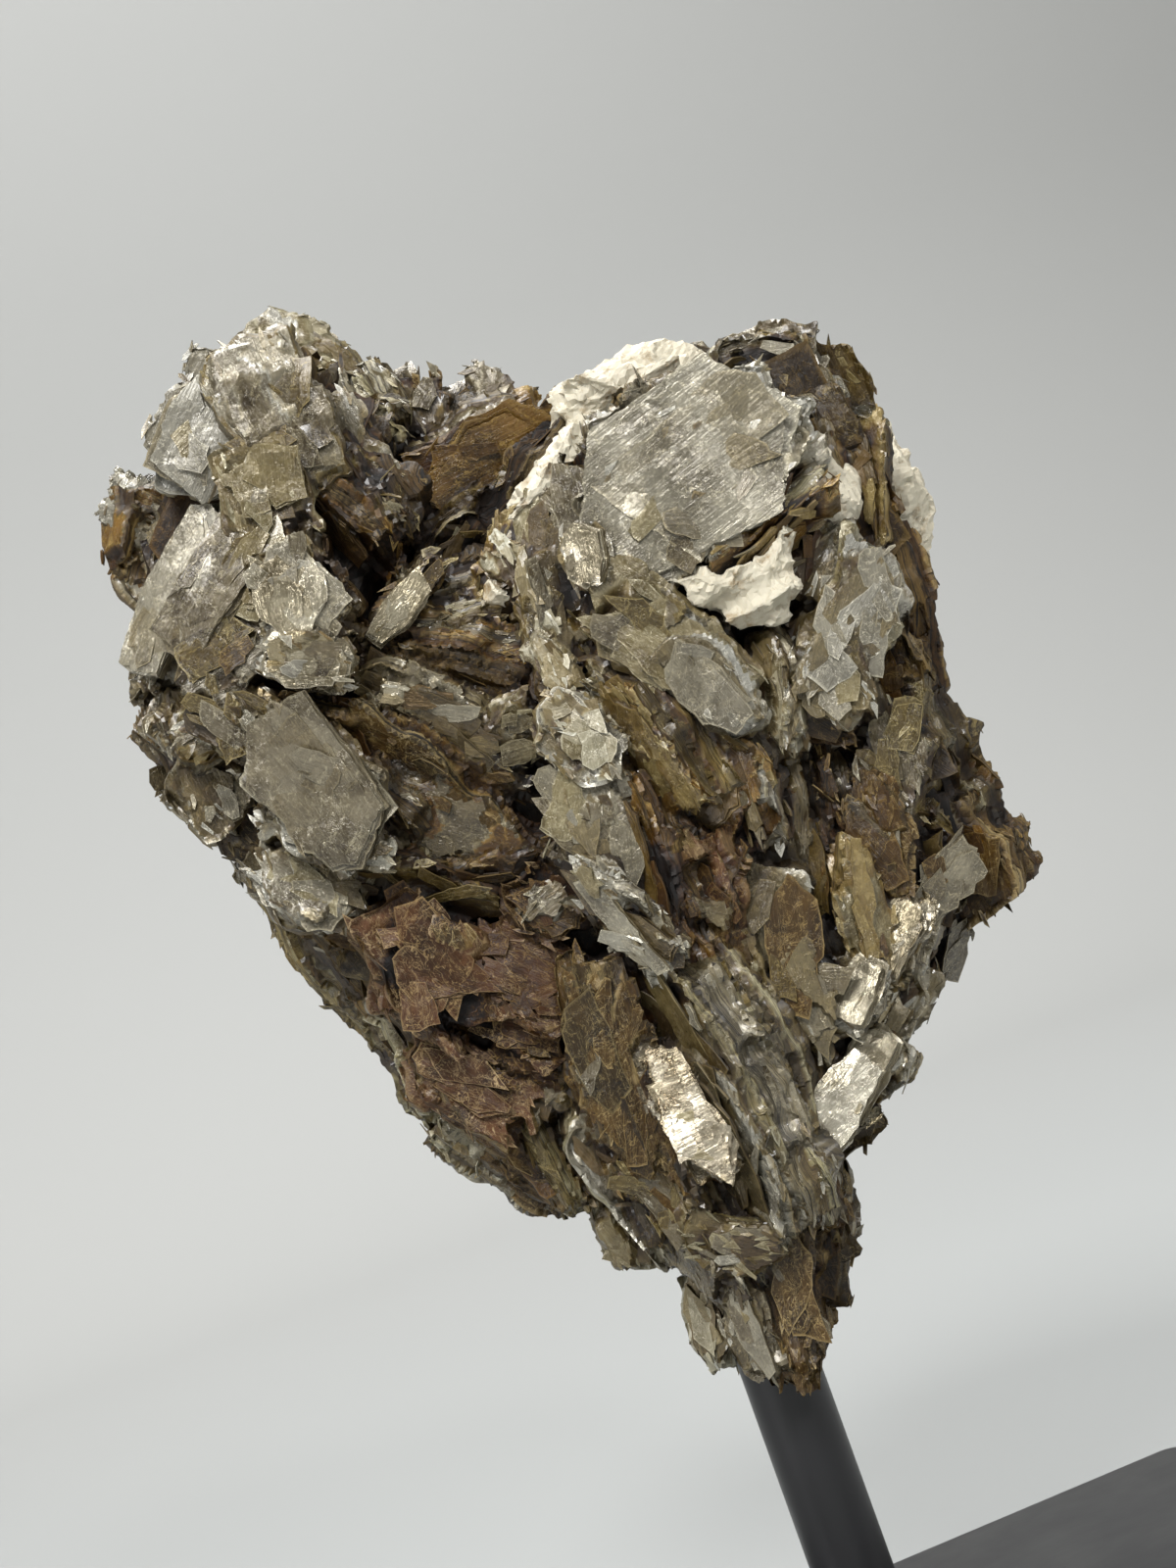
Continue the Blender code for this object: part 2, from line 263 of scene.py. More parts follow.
class Finish(Enum):
    """The kinds of mica in the stone."""

    SILVER = MicaFinish("a9a8a0", "68645a", "dcd9ca", "a8a188", "33291a", 0.30, 0.22, 0.40)
    PEARL = MicaFinish("9f9e97", "6c6960", "e4e2d6", "b5ae93", "40362a", 0.15, 0.29, 0.35)
    SLATE = MicaFinish("837c6c", "3d3424", "bdb8a4", "8d846a", "241d12", 0.25, 0.22, 0.40)
    SAGE = MicaFinish("9b9375", "584d2f", "cdc8b0", "aba47f", "352b17", 0.20, 0.25, 0.35)
    OLIVE = MicaFinish(
        "6f613a", "30250e", "bdb083", "978757", "281c0a", 0.10, 0.28, 0.35, coat=0.12, gloss=0.35
    )
    AMBER = MicaFinish(
        "7a5c2c", "33210a", "bb9f60", "937641", "221505", 0.05, 0.26, 0.35, coat=0.1, gloss=0.35
    )
    BROWN = MicaFinish(
        "5e4822", "251807", "bda97c", "947e50", "160e05", 0.0, 0.34, 0.45, coat=0.04, gloss=0.25
    )
    # DARK is for the clefts and hollows between books: its darkness is partly the mica's own deep brown and
    # partly painted shade.
    DARK = MicaFinish(
        "403116", "160e04", "9a8a62", "7c6b44", "0d0803", 0.0, 0.38, 0.40, coat=0.04, gloss=0.25
    )
    GOLD = MicaFinish("ab9a6b", "5f4f2c", "d2c290", "b19d67", "372a13", 0.20, 0.24, 0.35)
    ROSE = MicaFinish("5b3d28", "2a190d", "b9a27c", "745a3f", "190f07", 0.0, 0.35, 1.0, coat=0.03, gloss=0.2)
    # The near-white of FOIL is partly a painted highlight, for flakes that flash in the light; their mirror sheen
    # is the metallic value.
    FOIL = MicaFinish("cbc7b8", "6f6751", "faf6ec", "cdc5a8", "372c18", 0.60, 0.18, 0.60)
    WHITE = MicaFinish("cbc9b8", "8b8670", "f0eee2", "cdc9b2", "564b35", 0.10, 0.32, 0.40)
    CLEAR = MicaFinish("dcd8c4", "bdb79c", "eeebdf", "e2dec9", "a39a78", 0.0, 0.10, 0.2, clear=0.85)
    # The near-white of CREAM is partly a painted highlight, for flakes that flash in the light; their mirror
    # sheen is the metallic value.
    CREAM = MicaFinish("efebe2", "9a9078", "5b4626", "dccca2", "33270f", 0.70, 0.17, 0.80)

    def title(self) -> str:
        """Return the name of this finish's material."""
        return f"mica_{self.name.lower()}"

    def material(self) -> Material:
        """Return this finish's material, once it is built."""
        return bpy.data.materials[self.title()]


# The finest laminations are some hundredths of a millimetre, too fine to show, so they are drawn at these.
LAMINATION_MM = 0.14
BUNDLE_MM = 0.6
FACE_PATCH_MM = 6.0
CRACK_MM = 4.2
FINE_CRACK_MM = 1.6
# Cracks wander off a straight line by this much, over lumps of this size.
WANDER_MM = 2.2
WANDER_SIZE_MM = 2.4
# How wide a line is, as a share of its noise's range.
CRACK_WIDTH = 0.010
FINE_CRACK_WIDTH = 0.016
SCRATCH_WIDTH = 0.014
HAIRLINE_WIDTH = 0.018
GRAIN_MM = 0.7
FACET_TIP = 0.22
MICA_IOR = 1.58
# Each set of scratches: its slant to the book's length in degrees, and its spacing in millimetres.
SCRATCHES = ((38.0, 1.0), (-24.0, 0.6), (72.0, 1.6), (8.0, 0.45))
# The colours a sheet is multiplied by, from the darkest painted shade deep in a crevice to the open; they also
# carry each sheet's own random tone.
TONE_AND_SHADE_STOPS = ((0.0, "281905"), (0.2, "5b421b"), (0.45, "9a8a65"), (0.75, "cac4b6"), (1.0, "e9e8e5"))


class MicaMaterial:
    """Builds the node material of one mica finish, which reads the mesh's rim, tone, edge and grain."""

    def __init__(self, finish: Finish) -> None:
        """Start the material.

        Args:
            finish: the kind of mica.
        """
        self.look: MicaFinish = finish.value
        self.material, tree = new_material(finish.title())
        self.add = partial(add_node, tree)

    def summed(self, total: Any, *parts: tuple[Any, float]) -> NodeSocket:
        """Add shares of several values to one.

        Args:
            total: the value that the rest are added to.
            parts: each a value and its share.

        Returns:
            The sum's socket.
        """
        for value, share in parts:
            total = self.add("ShaderNodeMath", {0: value, 1: share, 2: total}, operation="MULTIPLY_ADD")
        return total

    def painted(self, base: Any, *coats: tuple[Any, str]) -> NodeSocket:
        """Lay coats of colour one over another.

        Args:
            base: the colour under them.
            coats: each a share, as a socket, and an sRGB hex.

        Returns:
            The last coat's socket.
        """
        for share, colour in coats:
            coat = {0: share, 6: base, 7: linear(colour)}
            base = self.add("ShaderNodeMix", coat, out=2, data_type="RGBA")
        return base

    def line(self, value: NodeSocket, width: float) -> NodeSocket:
        """Draw a thin line where a noise passes its middle value.

        Args:
            value: the noise.
            width: of the line, as a share of the noise's range.

        Returns:
            1 on the line and 0 away from it.
        """
        off = self.add("ShaderNodeMath", {0: value, 1: 0.5}, operation="SUBTRACT")
        away = self.add("ShaderNodeMath", {0: off}, operation="ABSOLUTE")
        return self.add("ShaderNodeMapRange", {0: away, 2: width, 3: 1.0, 4: 0.0})

    def streaks(self, grain: NodeSocket, rate: tuple[float, float, float]) -> NodeSocket:
        """Draw lines that run along a book's length.

        Args:
            grain: the place along, across and through the book.
            rate: how fast they change along, across and through it, for each millimetre.

        Returns:
            A value that changes from line to line.
        """
        drawn = self.add("ShaderNodeVectorMath", {0: grain, 1: rate}, operation="MULTIPLY")
        return self.add("ShaderNodeTexNoise", {"Vector": drawn, "Scale": 1.0, "Detail": 4, "Roughness": 0.6})

    def scratches(self, grain: NodeSocket, slant: float, apart: float) -> NodeSocket:
        """Draw fine broken lines across a face, the edges of single sheets that ended there.

        Args:
            grain: the place along, across and through the book.
            slant: the lines' angle to the book's length, in degrees.
            apart: how far apart they are, in millimetres.

        Returns:
            1 on a line and 0 away from it.
        """
        turn = {"Vector": grain, "Angle": radians(slant)}
        turned = self.add("ShaderNodeVectorRotate", turn, rotation_type="Z_AXIS")
        drawn = self.streaks(turned, (0.16 / apart, 1 / apart, 0.4 / apart))
        gaps = self.streaks(turned, (0.5, 0.9, 0.4))
        broken = self.add("ShaderNodeMapRange", {0: gaps, 1: 0.5, 2: 0.58})
        drawn = self.line(drawn, SCRATCH_WIDTH)
        return self.add("ShaderNodeMath", {0: drawn, 1: broken}, operation="MULTIPLY")

    def shade(self, tone: NodeSocket) -> NodeSocket:
        """Darken and brown a sheet by its tone: painted shade where it lies deep, and its own random tone.

        Args:
            tone: from 0, darkest in painted shade deep down, to 1 in the open.

        Returns:
            The colour to multiply by.
        """
        ramp = self.add("ShaderNodeValToRGB", {0: tone}, out=None)
        stops = ramp.color_ramp.elements
        stops[0].position, stops[0].color = TONE_AND_SHADE_STOPS[0][0], linear(TONE_AND_SHADE_STOPS[0][1])
        stops[1].position, stops[1].color = TONE_AND_SHADE_STOPS[-1][0], linear(TONE_AND_SHADE_STOPS[-1][1])
        for position, colour in TONE_AND_SHADE_STOPS[1:-1]:
            stops.new(position).color = linear(colour)
        return ramp.outputs[0]

    def facet(self, at: NodeSocket, size: float) -> tuple[NodeSocket, NodeSocket]:
        """Break a face into flat patches that each tip their own way, as crumpled sheets do.

        Args:
            at: the place.
            size: of a patch, in millimetres.

        Returns:
            The patches' height in millimetres, and a value of each patch's own.
        """
        cells = self.add("ShaderNodeTexVoronoi", {"Vector": at, "Scale": 1 / (size * MM)}, out=None).outputs
        middle = (0.5, 0.5, 0.5)
        out = self.add("ShaderNodeVectorMath", {0: at, 1: cells["Position"]}, operation="SUBTRACT")
        tip = self.add("ShaderNodeVectorMath", {0: cells["Color"], 1: middle}, operation="SUBTRACT")
        height = self.add("ShaderNodeVectorMath", {0: out, 1: tip}, out="Value", operation="DOT_PRODUCT")
        own = self.add("ShaderNodeSeparateColor", {0: cells["Color"]}, out=1)
        return self.add("ShaderNodeMath", {0: height, 1: FACET_TIP / MM}, operation="MULTIPLY"), own

    def build(self) -> Material:
        """Build the material.

        Returns:
            The material.
        """
        add, look = self.add, self.look
        coords = add("ShaderNodeTexCoord", out="Object")
        rim, tone, edge = (
            add("ShaderNodeAttribute", out="Fac", attribute_name=name) for name in ("rim", "tone", "edge")
        )
        grain = add("ShaderNodeAttribute", out="Vector", attribute_name="grain")
        stack = add("ShaderNodeSeparateXYZ", {0: grain}, out=2)
        streaks = self.streaks(grain, (0.14, 1.3, 1.0))
        hairs = self.streaks(grain, (0.30, 5.5, 4.0))
        patch = {"Vector": coords, "Scale": 1 / (FACE_PATCH_MM * MM), "Detail": 6, "Roughness": 0.62}
        patches = add("ShaderNodeTexNoise", patch)
        sway = {"Vector": coords, "Scale": 1 / (WANDER_SIZE_MM * MM), "Detail": 3}
        wobble = add("ShaderNodeTexNoise", sway, out="Color")
        bend = {0: wobble, 1: (WANDER_MM * MM,) * 3, 2: coords}
        bent = add("ShaderNodeVectorMath", bend, operation="MULTIPLY_ADD")
        swayed = add("ShaderNodeVectorMath", {0: wobble, 1: (3.0,) * 3, 2: grain}, operation="MULTIPLY_ADD")

        # The lines and the tipped patches of a crumpled face, coarse and fine.
        lines, tips, owns = [], [], []
        for size, width in ((CRACK_MM, CRACK_WIDTH), (FINE_CRACK_MM, FINE_CRACK_WIDTH)):
            wander = {"Vector": bent, "Scale": 1 / (size * MM), "Detail": 4, "Roughness": 0.6}
            lines.append(self.line(add("ShaderNodeTexNoise", wander), width))
            tip, own = self.facet(bent, size)
            tips.append(tip)
            owns.append(own)
        where = add("ShaderNodeMapRange", {0: patches, 1: 0.40, 2: 0.62, 3: 0.05})
        cracks = self.summed(lines[0], (lines[1], 0.5))
        cracks = add("ShaderNodeMath", {0: cracks, 1: where}, operation="MULTIPLY")
        strength = add("ShaderNodeMath", {0: cracks, 1: look.cracks}, operation="MULTIPLY")
        hair = add("ShaderNodeMapRange", {0: streaks, 1: 0.45, 2: 0.6, 4: 0.8})
        hair = add("ShaderNodeMath", {0: self.line(hairs, HAIRLINE_WIDTH), 1: hair}, operation="MULTIPLY")
        # Painted highlight: the face is lightened, patchily, near the sheets' free edges.
        lit_edge = add("ShaderNodeMapRange", {0: edge, 1: 0.5, 4: 0.8})
        edge_light = add("ShaderNodeMapRange", {0: patches, 1: 0.35, 2: 0.6, 3: 0.1})
        edge_light = add("ShaderNodeMath", {0: lit_edge, 1: edge_light}, operation="MULTIPLY")
        scratched = [
            add("ShaderNodeMath", {0: self.scratches(swayed, *each), 1: 0.75}, operation="MULTIPLY")
            for each in SCRATCHES
        ]

        # The face: clear where few sheets lie under it, dark where many do, and lined over that, with a painted
        # highlight near the free edges.
        deep = self.summed(patches, (owns[0], 0.15), (streaks, 0.22), (hairs, 0.16))
        deep = add("ShaderNodeMapRange", {0: deep, 1: 0.63, 2: 0.92})
        lined = [(share, look.line) for share in (hair, strength, *scratched, edge_light)]
        face = self.painted(linear(look.face_light), (deep, look.face_dark), *lined)

        # The rims: sheet upon sheet, bright edges and dark gaps, with painted shade in the crease under each
        # sheet and a painted highlight along its free edge.
        sheets, bundles = (
            add(
                "ShaderNodeTexNoise",
                {"W": stack, "Scale": 1 / spacing, "Detail": 2, "Roughness": 0.7},
                noise_dimensions="1D",
            )
            for spacing in (LAMINATION_MM, BUNDLE_MM)
        )
        shown = self.summed(sheets, (bundles, 0.7), (hairs, 0.6))
        rims = self.painted(
            linear(look.rim_dark),
            (add("ShaderNodeMapRange", {0: shown, 1: 1.0, 2: 1.24}), look.rim_light),
            (add("ShaderNodeMapRange", {0: patches, 1: 0.50, 2: 0.72, 4: 0.65}), look.rim_dark),
            # Painted shade in the crease under each sheet, and a painted highlight along its free edge.
            (add("ShaderNodeMapRange", {0: edge, 2: 0.6, 3: 0.75, 4: 0.0}), look.rim_dark),
            (add("ShaderNodeMapRange", {0: edge, 1: 0.7, 4: 0.45}), look.line),
            (add("ShaderNodeMath", {0: hair, 1: 0.8}, operation="MULTIPLY"), look.line),
        )
        colour = add("ShaderNodeMix", {0: rim, 6: face, 7: rims}, out=2, data_type="RGBA")
        # Painted shade: a sheet is darkened and browned by its tone, which is low where it lies deep.
        shaded = {0: 1.0, 6: colour, 7: self.shade(tone)}
        colour = add("ShaderNodeMix", shaded, out=2, data_type="RGBA", blend_type="MULTIPLY")

        speck = add("ShaderNodeTexNoise", {"Vector": coords, "Scale": 1 / (GRAIN_MM * MM), "Detail": 3})
        spread = {0: speck, 1: 0.3, 2: 0.7, 3: look.roughness - 0.06, 4: look.roughness + 0.12}
        buried = add("ShaderNodeMapRange", {0: tone, 1: 0.1, 2: 0.6, 3: 1.0, 4: 0.0})
        rough = self.summed(add("ShaderNodeMapRange", spread), (rim, 0.2), (buried, 0.25))
        face_height = self.summed(tips[0], (cracks, 0.05), (tips[1], 0.6), (streaks, 0.14), (hairs, 0.07))
        rim_height = add("ShaderNodeMath", {0: bundles, 1: 0.18}, operation="MULTIPLY")
        rim_height = self.summed(rim_height, (sheets, 0.07))
        height = add("ShaderNodeMix", {0: rim, 2: face_height, 3: rim_height}, data_type="FLOAT")
        shader = {
            "Base Color": colour,
            "Roughness": rough,
            "Metallic": look.metallic,
            "Transmission Weight": look.clear,
            "IOR": MICA_IOR,
            "Specular IOR Level": look.gloss,
            "Coat Weight": look.coat,
            "Coat Roughness": 0.12,
            "Normal": add("ShaderNodeBump", {"Height": height, "Distance": MM, "Strength": 1.0}),
        }
        add("ShaderNodeOutputMaterial", {"Surface": add("ShaderNodeBsdfPrincipled", shader)}, out=None)
        return self.material


# --- the stone's drawing board ------------------------------------------------------------------------


@dataclass(frozen=True)
class ElevationFrame:
    """Where the front elevation stands, in metres and radians. These repeat the frame's own values.

    Attributes:
        middle_height: of the elevation's middle above the floor.
        lean: of the elevation's upright, in its own plane.
        tilt: of its far side, raised.
        turn: about the post.
        post_across: where the post's axis crosses the elevation's level line.
        eye_distance: from which the elevation is drawn in perspective.
    """

    middle_height: float = 0.101
    lean: float = radians(19.8)
    tilt: float = radians(4.5)
    turn: float = radians(-11)
    post_across: float = -0.0018
    eye_distance: float = 0.240

    def matrix(self) -> Matrix:
        """Return the matrix from the elevation to the stand, in metres."""
        lean, tilt = Matrix.Rotation(self.lean, 4, "Y"), Matrix.Rotation(self.tilt, 4, "X")
        turn, lift = Matrix.Rotation(self.turn, 4, "Z"), Matrix.Translation((0, 0, self.middle_height))
        return lift @ turn @ tilt @ lean @ Matrix.Translation((-self.post_across, 0, 0))

    def point(self, across: float, up: float, back: float) -> Vector:
        """Place a drawn point.

        Args:
            across: millimetres to the right, as drawn.
            up: millimetres up, as drawn.
            back: millimetres behind the middle plane.

        Returns:
            The point in the elevation's own metres, with the perspective undone.
        """
        spread = (self.eye_distance + back * MM) / self.eye_distance
        return Vector((across * MM * spread, back * MM, up * MM * spread))


ELEVATION = ElevationFrame()


@dataclass(frozen=True)
class Book:
    """One book of mica sheets, sized in millimetres on the elevation.

    Attributes:
        name: what it is called.
        across, up, back: the place of its middle.
        length, width: of its sheets.
        thick: through the stack.
        run: the angle that its length runs at, from level, in degrees.
        lean: how far its face leans round that length, in degrees.
        finish: its kind of mica.
        bend: how far its ends curl back, in millimetres.
        fan: how much its running end opens out, as a share of its thickness.
        split: how split it is into leaves, as a share of the usual.
        cover: whether one clear sheet lies over its face.
    """

    name: str
    across: float
    up: float
    back: float
    length: float
    width: float
    thick: float
    run: float
    lean: float
    finish: Finish
    bend: float = 0.0
    fan: float = 0.0
    split: float = 1.0
    cover: bool = False

    def matrix(self) -> Matrix:
        """Place the book.

        Returns:
            The matrix from its own axes, X along its length and Z out of its face, to the stand.
        """
        run = radians(self.run)
        along = Vector((cos(run), 0, sin(run)))
        face = Vector((0, -1, 0))
        face.rotate(Matrix.Rotation(radians(self.lean), 3, along))
        axes = Matrix((along, face.cross(along), face)).transposed().to_4x4()
        middle = ELEVATION.point(self.across, self.up, self.back)
        return ELEVATION.matrix() @ Matrix.Translation(middle) @ axes


class Openness:
    """Tells how open a place is to the outside, from the books' plain slabs.

    What lies buried is never built, and what lies deep is painted darker and browner: painted shade in the
    crevices.
    """

    slab_share = 0.84
    slab_depth = 0.92
    slab_sides = 10
    ways_out = 16
    reach = 0.2

    def __init__(self, books: Iterable[Book]) -> None:
        """Lay out the slabs.

        Args:
            books: all the books.
        """
        points: list[Vector] = []
        corners: list[tuple[int, ...]] = []
        sides = self.slab_sides
        for book in books:
            place, start = book.matrix(), len(points)
            for z in (-0.5, 0.5):
                for i in range(sides):
                    angle = 2 * pi * i / sides
                    x = self.slab_share * cos(angle) * book.length / 2
                    y = self.slab_share * sin(angle) * book.width / 2
                    points.append(place @ (Vector((x, y, z * self.slab_depth * book.thick)) * MM))
            ring = range(start, start + sides)
            corners.append(tuple(reversed(ring)))
            corners.append(tuple(i + sides for i in ring))
            for i in range(sides):
                j = (i + 1) % sides
                corners.append((start + i, start + j, start + sides + j, start + sides + i))
        self.tree = BVHTree.FromPolygons(points, corners)
        steps = np.arange(self.ways_out) + 0.5
        tall, round_it = 1 - 2 * steps / self.ways_out, steps * pi * (1 + 5**0.5)
        flat = np.sqrt(1 - tall**2)
        self.ways = [
            Vector(way) for way in np.stack([flat * np.cos(round_it), flat * np.sin(round_it), tall], axis=1)
        ]

    def share(self, points: Iterable[Vector]) -> float:
        """Find the share of the ways out of some places that meet nothing: about 0.5 on an open face."""
        met = [self.tree.ray_cast(p, way, self.reach)[0] is None for p in points for way in self.ways]
        return sum(met) / len(met)


@dataclass
class Shells:
    """Triangles gathered from many closed shells, with their attributes.

    Attributes:
        points: vertex places in metres, one array a shell.
        corners: triangles, one array a shell.
        grain: the place of each vertex along, across and through its stack, in millimetres.
        edge: for each vertex, 1 on a sheet's free edge and 0 away from it or under the next sheet; the material
            paints a highlight near 1, and on the rims painted shade near 0.
        rim: for each triangle, 1 on a sheet's edge and 0 on its face.
        tone: for each triangle, how light it is: its own random tone, darkened by painted shade where it lies
            deep.
        run: for each vertex, the way that its book's length runs.
        finish: for each triangle, the number of its finish.
    """

    points: list[np.ndarray] = field(default_factory=list)
    corners: list[np.ndarray] = field(default_factory=list)
    grain: list[np.ndarray] = field(default_factory=list)
    edge: list[np.ndarray] = field(default_factory=list)
    run: list[np.ndarray] = field(default_factory=list)
    rim: list[np.ndarray] = field(default_factory=list)
    tone: list[np.ndarray] = field(default_factory=list)
    finish: list[np.ndarray] = field(default_factory=list)

    def count(self) -> int:
        """Return the number of triangles so far."""
        return sum(len(c) for c in self.corners)

    def mesh(self, name: str) -> Mesh:
        """Make one mesh of all the shells.

        Args:
            name: the mesh's name.

        Returns:
            The mesh, with only the materials that it uses.
        """
        starts = np.cumsum([0] + [len(p) for p in self.points[:-1]])
        points = np.concatenate(self.points).astype(np.float32)
        corners = np.concatenate([c + s for c, s in zip(self.corners, starts)]).astype(np.int32)
        finishes = list(Finish)
        used, slots = np.unique(np.concatenate(self.finish), return_inverse=True)
        mesh = bpy.data.meshes.new(name)
        mesh.vertices.add(len(points))
        mesh.loops.add(len(corners) * 3)
        mesh.polygons.add(len(corners))
        mesh.vertices.foreach_set("co", points.ravel())
        mesh.loops.foreach_set("vertex_index", corners.ravel())
        mesh.polygons.foreach_set("loop_start", np.arange(len(corners), dtype=np.int32) * 3)
        for number in used:
            mesh.materials.append(finishes[number].material())
        mesh.polygons.foreach_set("material_index", slots.astype(np.int32))
        mesh.polygons.foreach_set("use_smooth", np.ones(len(corners), dtype=bool))
        store(mesh, "POINT", edge=np.concatenate(self.edge))
        store(mesh, "FACE", rim=np.concatenate(self.rim), tone=np.concatenate(self.tone))
        store(mesh, "POINT", grain=np.concatenate(self.grain), run=np.concatenate(self.run))
        mesh.update(calc_edges=True)
        mesh.validate()
        mesh.set_sharp_from_angle(angle=radians(28))
        return mesh


@dataclass
class SheetStack:
    """Builds a book as a closed stack of sheets, in its own axes, in millimetres.

    Attributes:
        sheet: the thickness of a drawn sheet.
        point_spacing: between the points round an edge.
        most_sheets: in one book.
        step_chance: that a sheet is broken well back from the one under it.
        new_break: that a sheet has an outline of its own.
        rag: how ragged an edge is, in millimetres.
        sides: the fewest straight breaks round an outline, and one more than the most.
        inner_rings: where the rings of points on the top face lie, as shares of its edge.
    """

    sheet: float = 0.32
    point_spacing: float = 0.85
    most_sheets: int = 16
    step_chance: float = 0.22
    new_break: float = 0.20
    rag: float = 0.22
    sides: tuple[int, int] = (4, 8)
    inner_rings: tuple[float, ...] = (0.92, 0.78, 0.6, 0.4, 0.2)

    def corner_reaches(self, chance: Chance, angles: np.ndarray) -> np.ndarray:
        """Draw how far a broken slab's corners reach from its middle, inside a square two units wide."""
        square = 0.97 / np.maximum(np.abs(np.cos(angles)), np.abs(np.sin(angles)))
        return np.minimum(square, 1.22) * chance.uniform(0.78, 1.0, len(angles))

    def levels(self, book: Book, chance: Chance, place: Matrix, openness: Optional[Openness]) -> np.ndarray:
        """Choose the heights of a book's sheets, thick and thin, with the buried ones left as one.

        Args:
            book: the book.
            chance: the random numbers.
            place: from the book's axes, in metres, to the stand.
            openness: what tells which of its edges show, if that is wanted.

        Returns:
            The heights, from 0 to the book's thickness.
        """
        sheets = int(np.clip(round(book.thick / self.sheet), 1, self.most_sheets))
        levels = np.concatenate([[0], np.cumsum(np.minimum(chance.exponential(1, sheets), 3) + 0.2)])
        levels *= book.thick / levels[-1]
        if openness is None or sheets < 5:
            return levels
        kept = [0.0]
        for level in levels[1:-1]:
            rim = []
            for i in range(8):
                angle = 2 * pi * i / 8
                x, y = cos(angle) * book.length * 0.47, sin(angle) * book.width * 0.47
                rim.append(place @ (Vector((x, y, level - book.thick / 2)) * MM))
            if openness.share(rim) > 0.02:
                kept.append(float(level))
        return np.array([*kept, book.thick])

    def build(
        self,
        book: Book,
        chance: Chance,
        place: Matrix,
        shells: Shells,
        depth: float = 1.0,
        openness: Optional[Openness] = None,
    ) -> None:
        """Build one book into the shells.

        Args:
            book: the book.
            chance: the random numbers.
            place: from the book's axes, in metres, to the stand.
            shells: where it goes.
            depth: the painted shade on it, from 0 deep in a crevice to 1 in the open.
            openness: what tells which of its sheets show, if that is wanted.
        """
        half = np.array([book.length, book.width]) / 2
        levels = self.levels(book, chance, place, openness)
        sheets = len(levels) - 1
        sides = int(chance.integers(*self.sides))
        angles = (np.arange(sides) + chance.uniform(-0.32, 0.32, sides)) * 2 * np.pi / sides
        angles += chance.uniform(0, 2 * np.pi)
        reaches = self.corner_reaches(chance, angles)
        ways = np.stack([np.cos(angles), np.sin(angles)], axis=1)
        ends = ways * reaches[:, None] * half
        lengths = np.linalg.norm(np.roll(ends, -1, axis=0) - ends, axis=1)
        cuts = np.clip(np.round(lengths / self.point_spacing).astype(int), 1, 16)
        side = np.repeat(np.arange(sides), cuts)
        along = np.concatenate([np.arange(n) / n for n in cuts])
        count = len(side)
        coarse = self.ragged(chance, count)
        often = chance.dirichlet(np.ones(sides) * 0.5)
        drift, splay = np.zeros(2), np.zeros(2)
        rings, heights, tones = [], [], []
        tone = chance.uniform(0.3, 0.7)
        for k in range(sheets):
            if k:
                coarse = 0.8 * coarse + 0.4 * self.ragged(chance, count)
                drift = drift + chance.normal(0, 0.004, 2) * half
                tone = 0.7 * tone + 0.3 * chance.uniform(0, 1)
            if k and chance.random() < self.step_chance:
                broken = int(chance.choice(sides, p=often))
                back = 1 - chance.uniform(0.03, 0.22)
                reaches[[broken, (broken + 1) % sides]] *= back
            if k and chance.random() < self.new_break:
                reaches = self.corner_reaches(chance, angles) * chance.uniform(0.9, 1.0)
                splay = splay + chance.normal(0, 0.018, 2)
            ends = ways * np.maximum(reaches, 0.25)[:, None] * half + drift
            ring = ends[side] * (1 - along)[:, None] + ends[(side + 1) % sides] * along[:, None]
            outward = ring / np.maximum(np.linalg.norm(ring, axis=1), 1e-6)[:, None]
            jag = self.rag * (coarse + 0.6 * chance.normal(0, 1, count)) * np.where(along == 0, 0.4, 1)
            ring = ring + outward * (jag + chance.normal(0, 0.03))[:, None]
            x, y = ring[:, 0], ring[:, 1]
            for z in (levels[k], levels[k + 1]):
                rings.append(ring)
                heights.append(z + splay[0] * x + splay[1] * y)
            # Each sheet's tone is its own random tone times depth, the painted shade.
            tones.append((0.42 + 0.58 * np.clip(tone + chance.normal(0, 0.08), 0, 1)) * depth)
        top, top_height = rings[-1], heights[-1]
        middle = top.mean(axis=0)
        flat_height = levels[-1] + splay[0] * middle[0] + splay[1] * middle[1]
        for share in self.inner_rings:
            rings.append(middle + (top - middle) * share)
            heights.append(flat_height + (top_height - flat_height) * share)
        flat = np.concatenate(rings + [middle[None], rings[0].mean(axis=0)[None]])
        height = np.concatenate(heights + [[flat_height], [heights[0].mean()]])
        points = self.warped(book, chance, flat, height)
        corners, rim, tone_of = self.triangles(count, sheets, len(rings), tones)
        world = np.array(place)
        metres = np.concatenate([points * MM, np.ones((len(points), 1))], axis=1) @ world.T
        shells.points.append(metres[:, :3])
        shells.corners.append(corners)
        shells.grain.append(np.column_stack([flat, height]) + chance.uniform(0, 100, 3))
        shells.run.append(np.tile(world[:3, 0], (len(points), 1)))
        free = np.zeros((len(rings), count))
        free[1 : 2 * sheets : 2] = 1.0
        shells.edge.append(np.append(free.ravel(), (0.0, 0.0)))
        shells.rim.append(rim)
        shells.tone.append(tone_of)
        shells.finish.append(np.full(len(corners), list(Finish).index(book.finish)))

    def ragged(self, chance: Chance, count: int) -> np.ndarray:
        """Make a ragged line round an edge.

        Args:
            chance: the random numbers.
            count: how many points there are round it.

        Returns:
            A value from about -2.5 to 1 at each point.
        """
        knots = chance.uniform(-1, 1, max(count // 3, 4))
        knots[chance.random(len(knots)) < 0.15] -= 1.6
        at = np.linspace(0, count, len(knots) + 1)
        return np.interp(np.arange(count), at, np.append(knots, knots[0]))

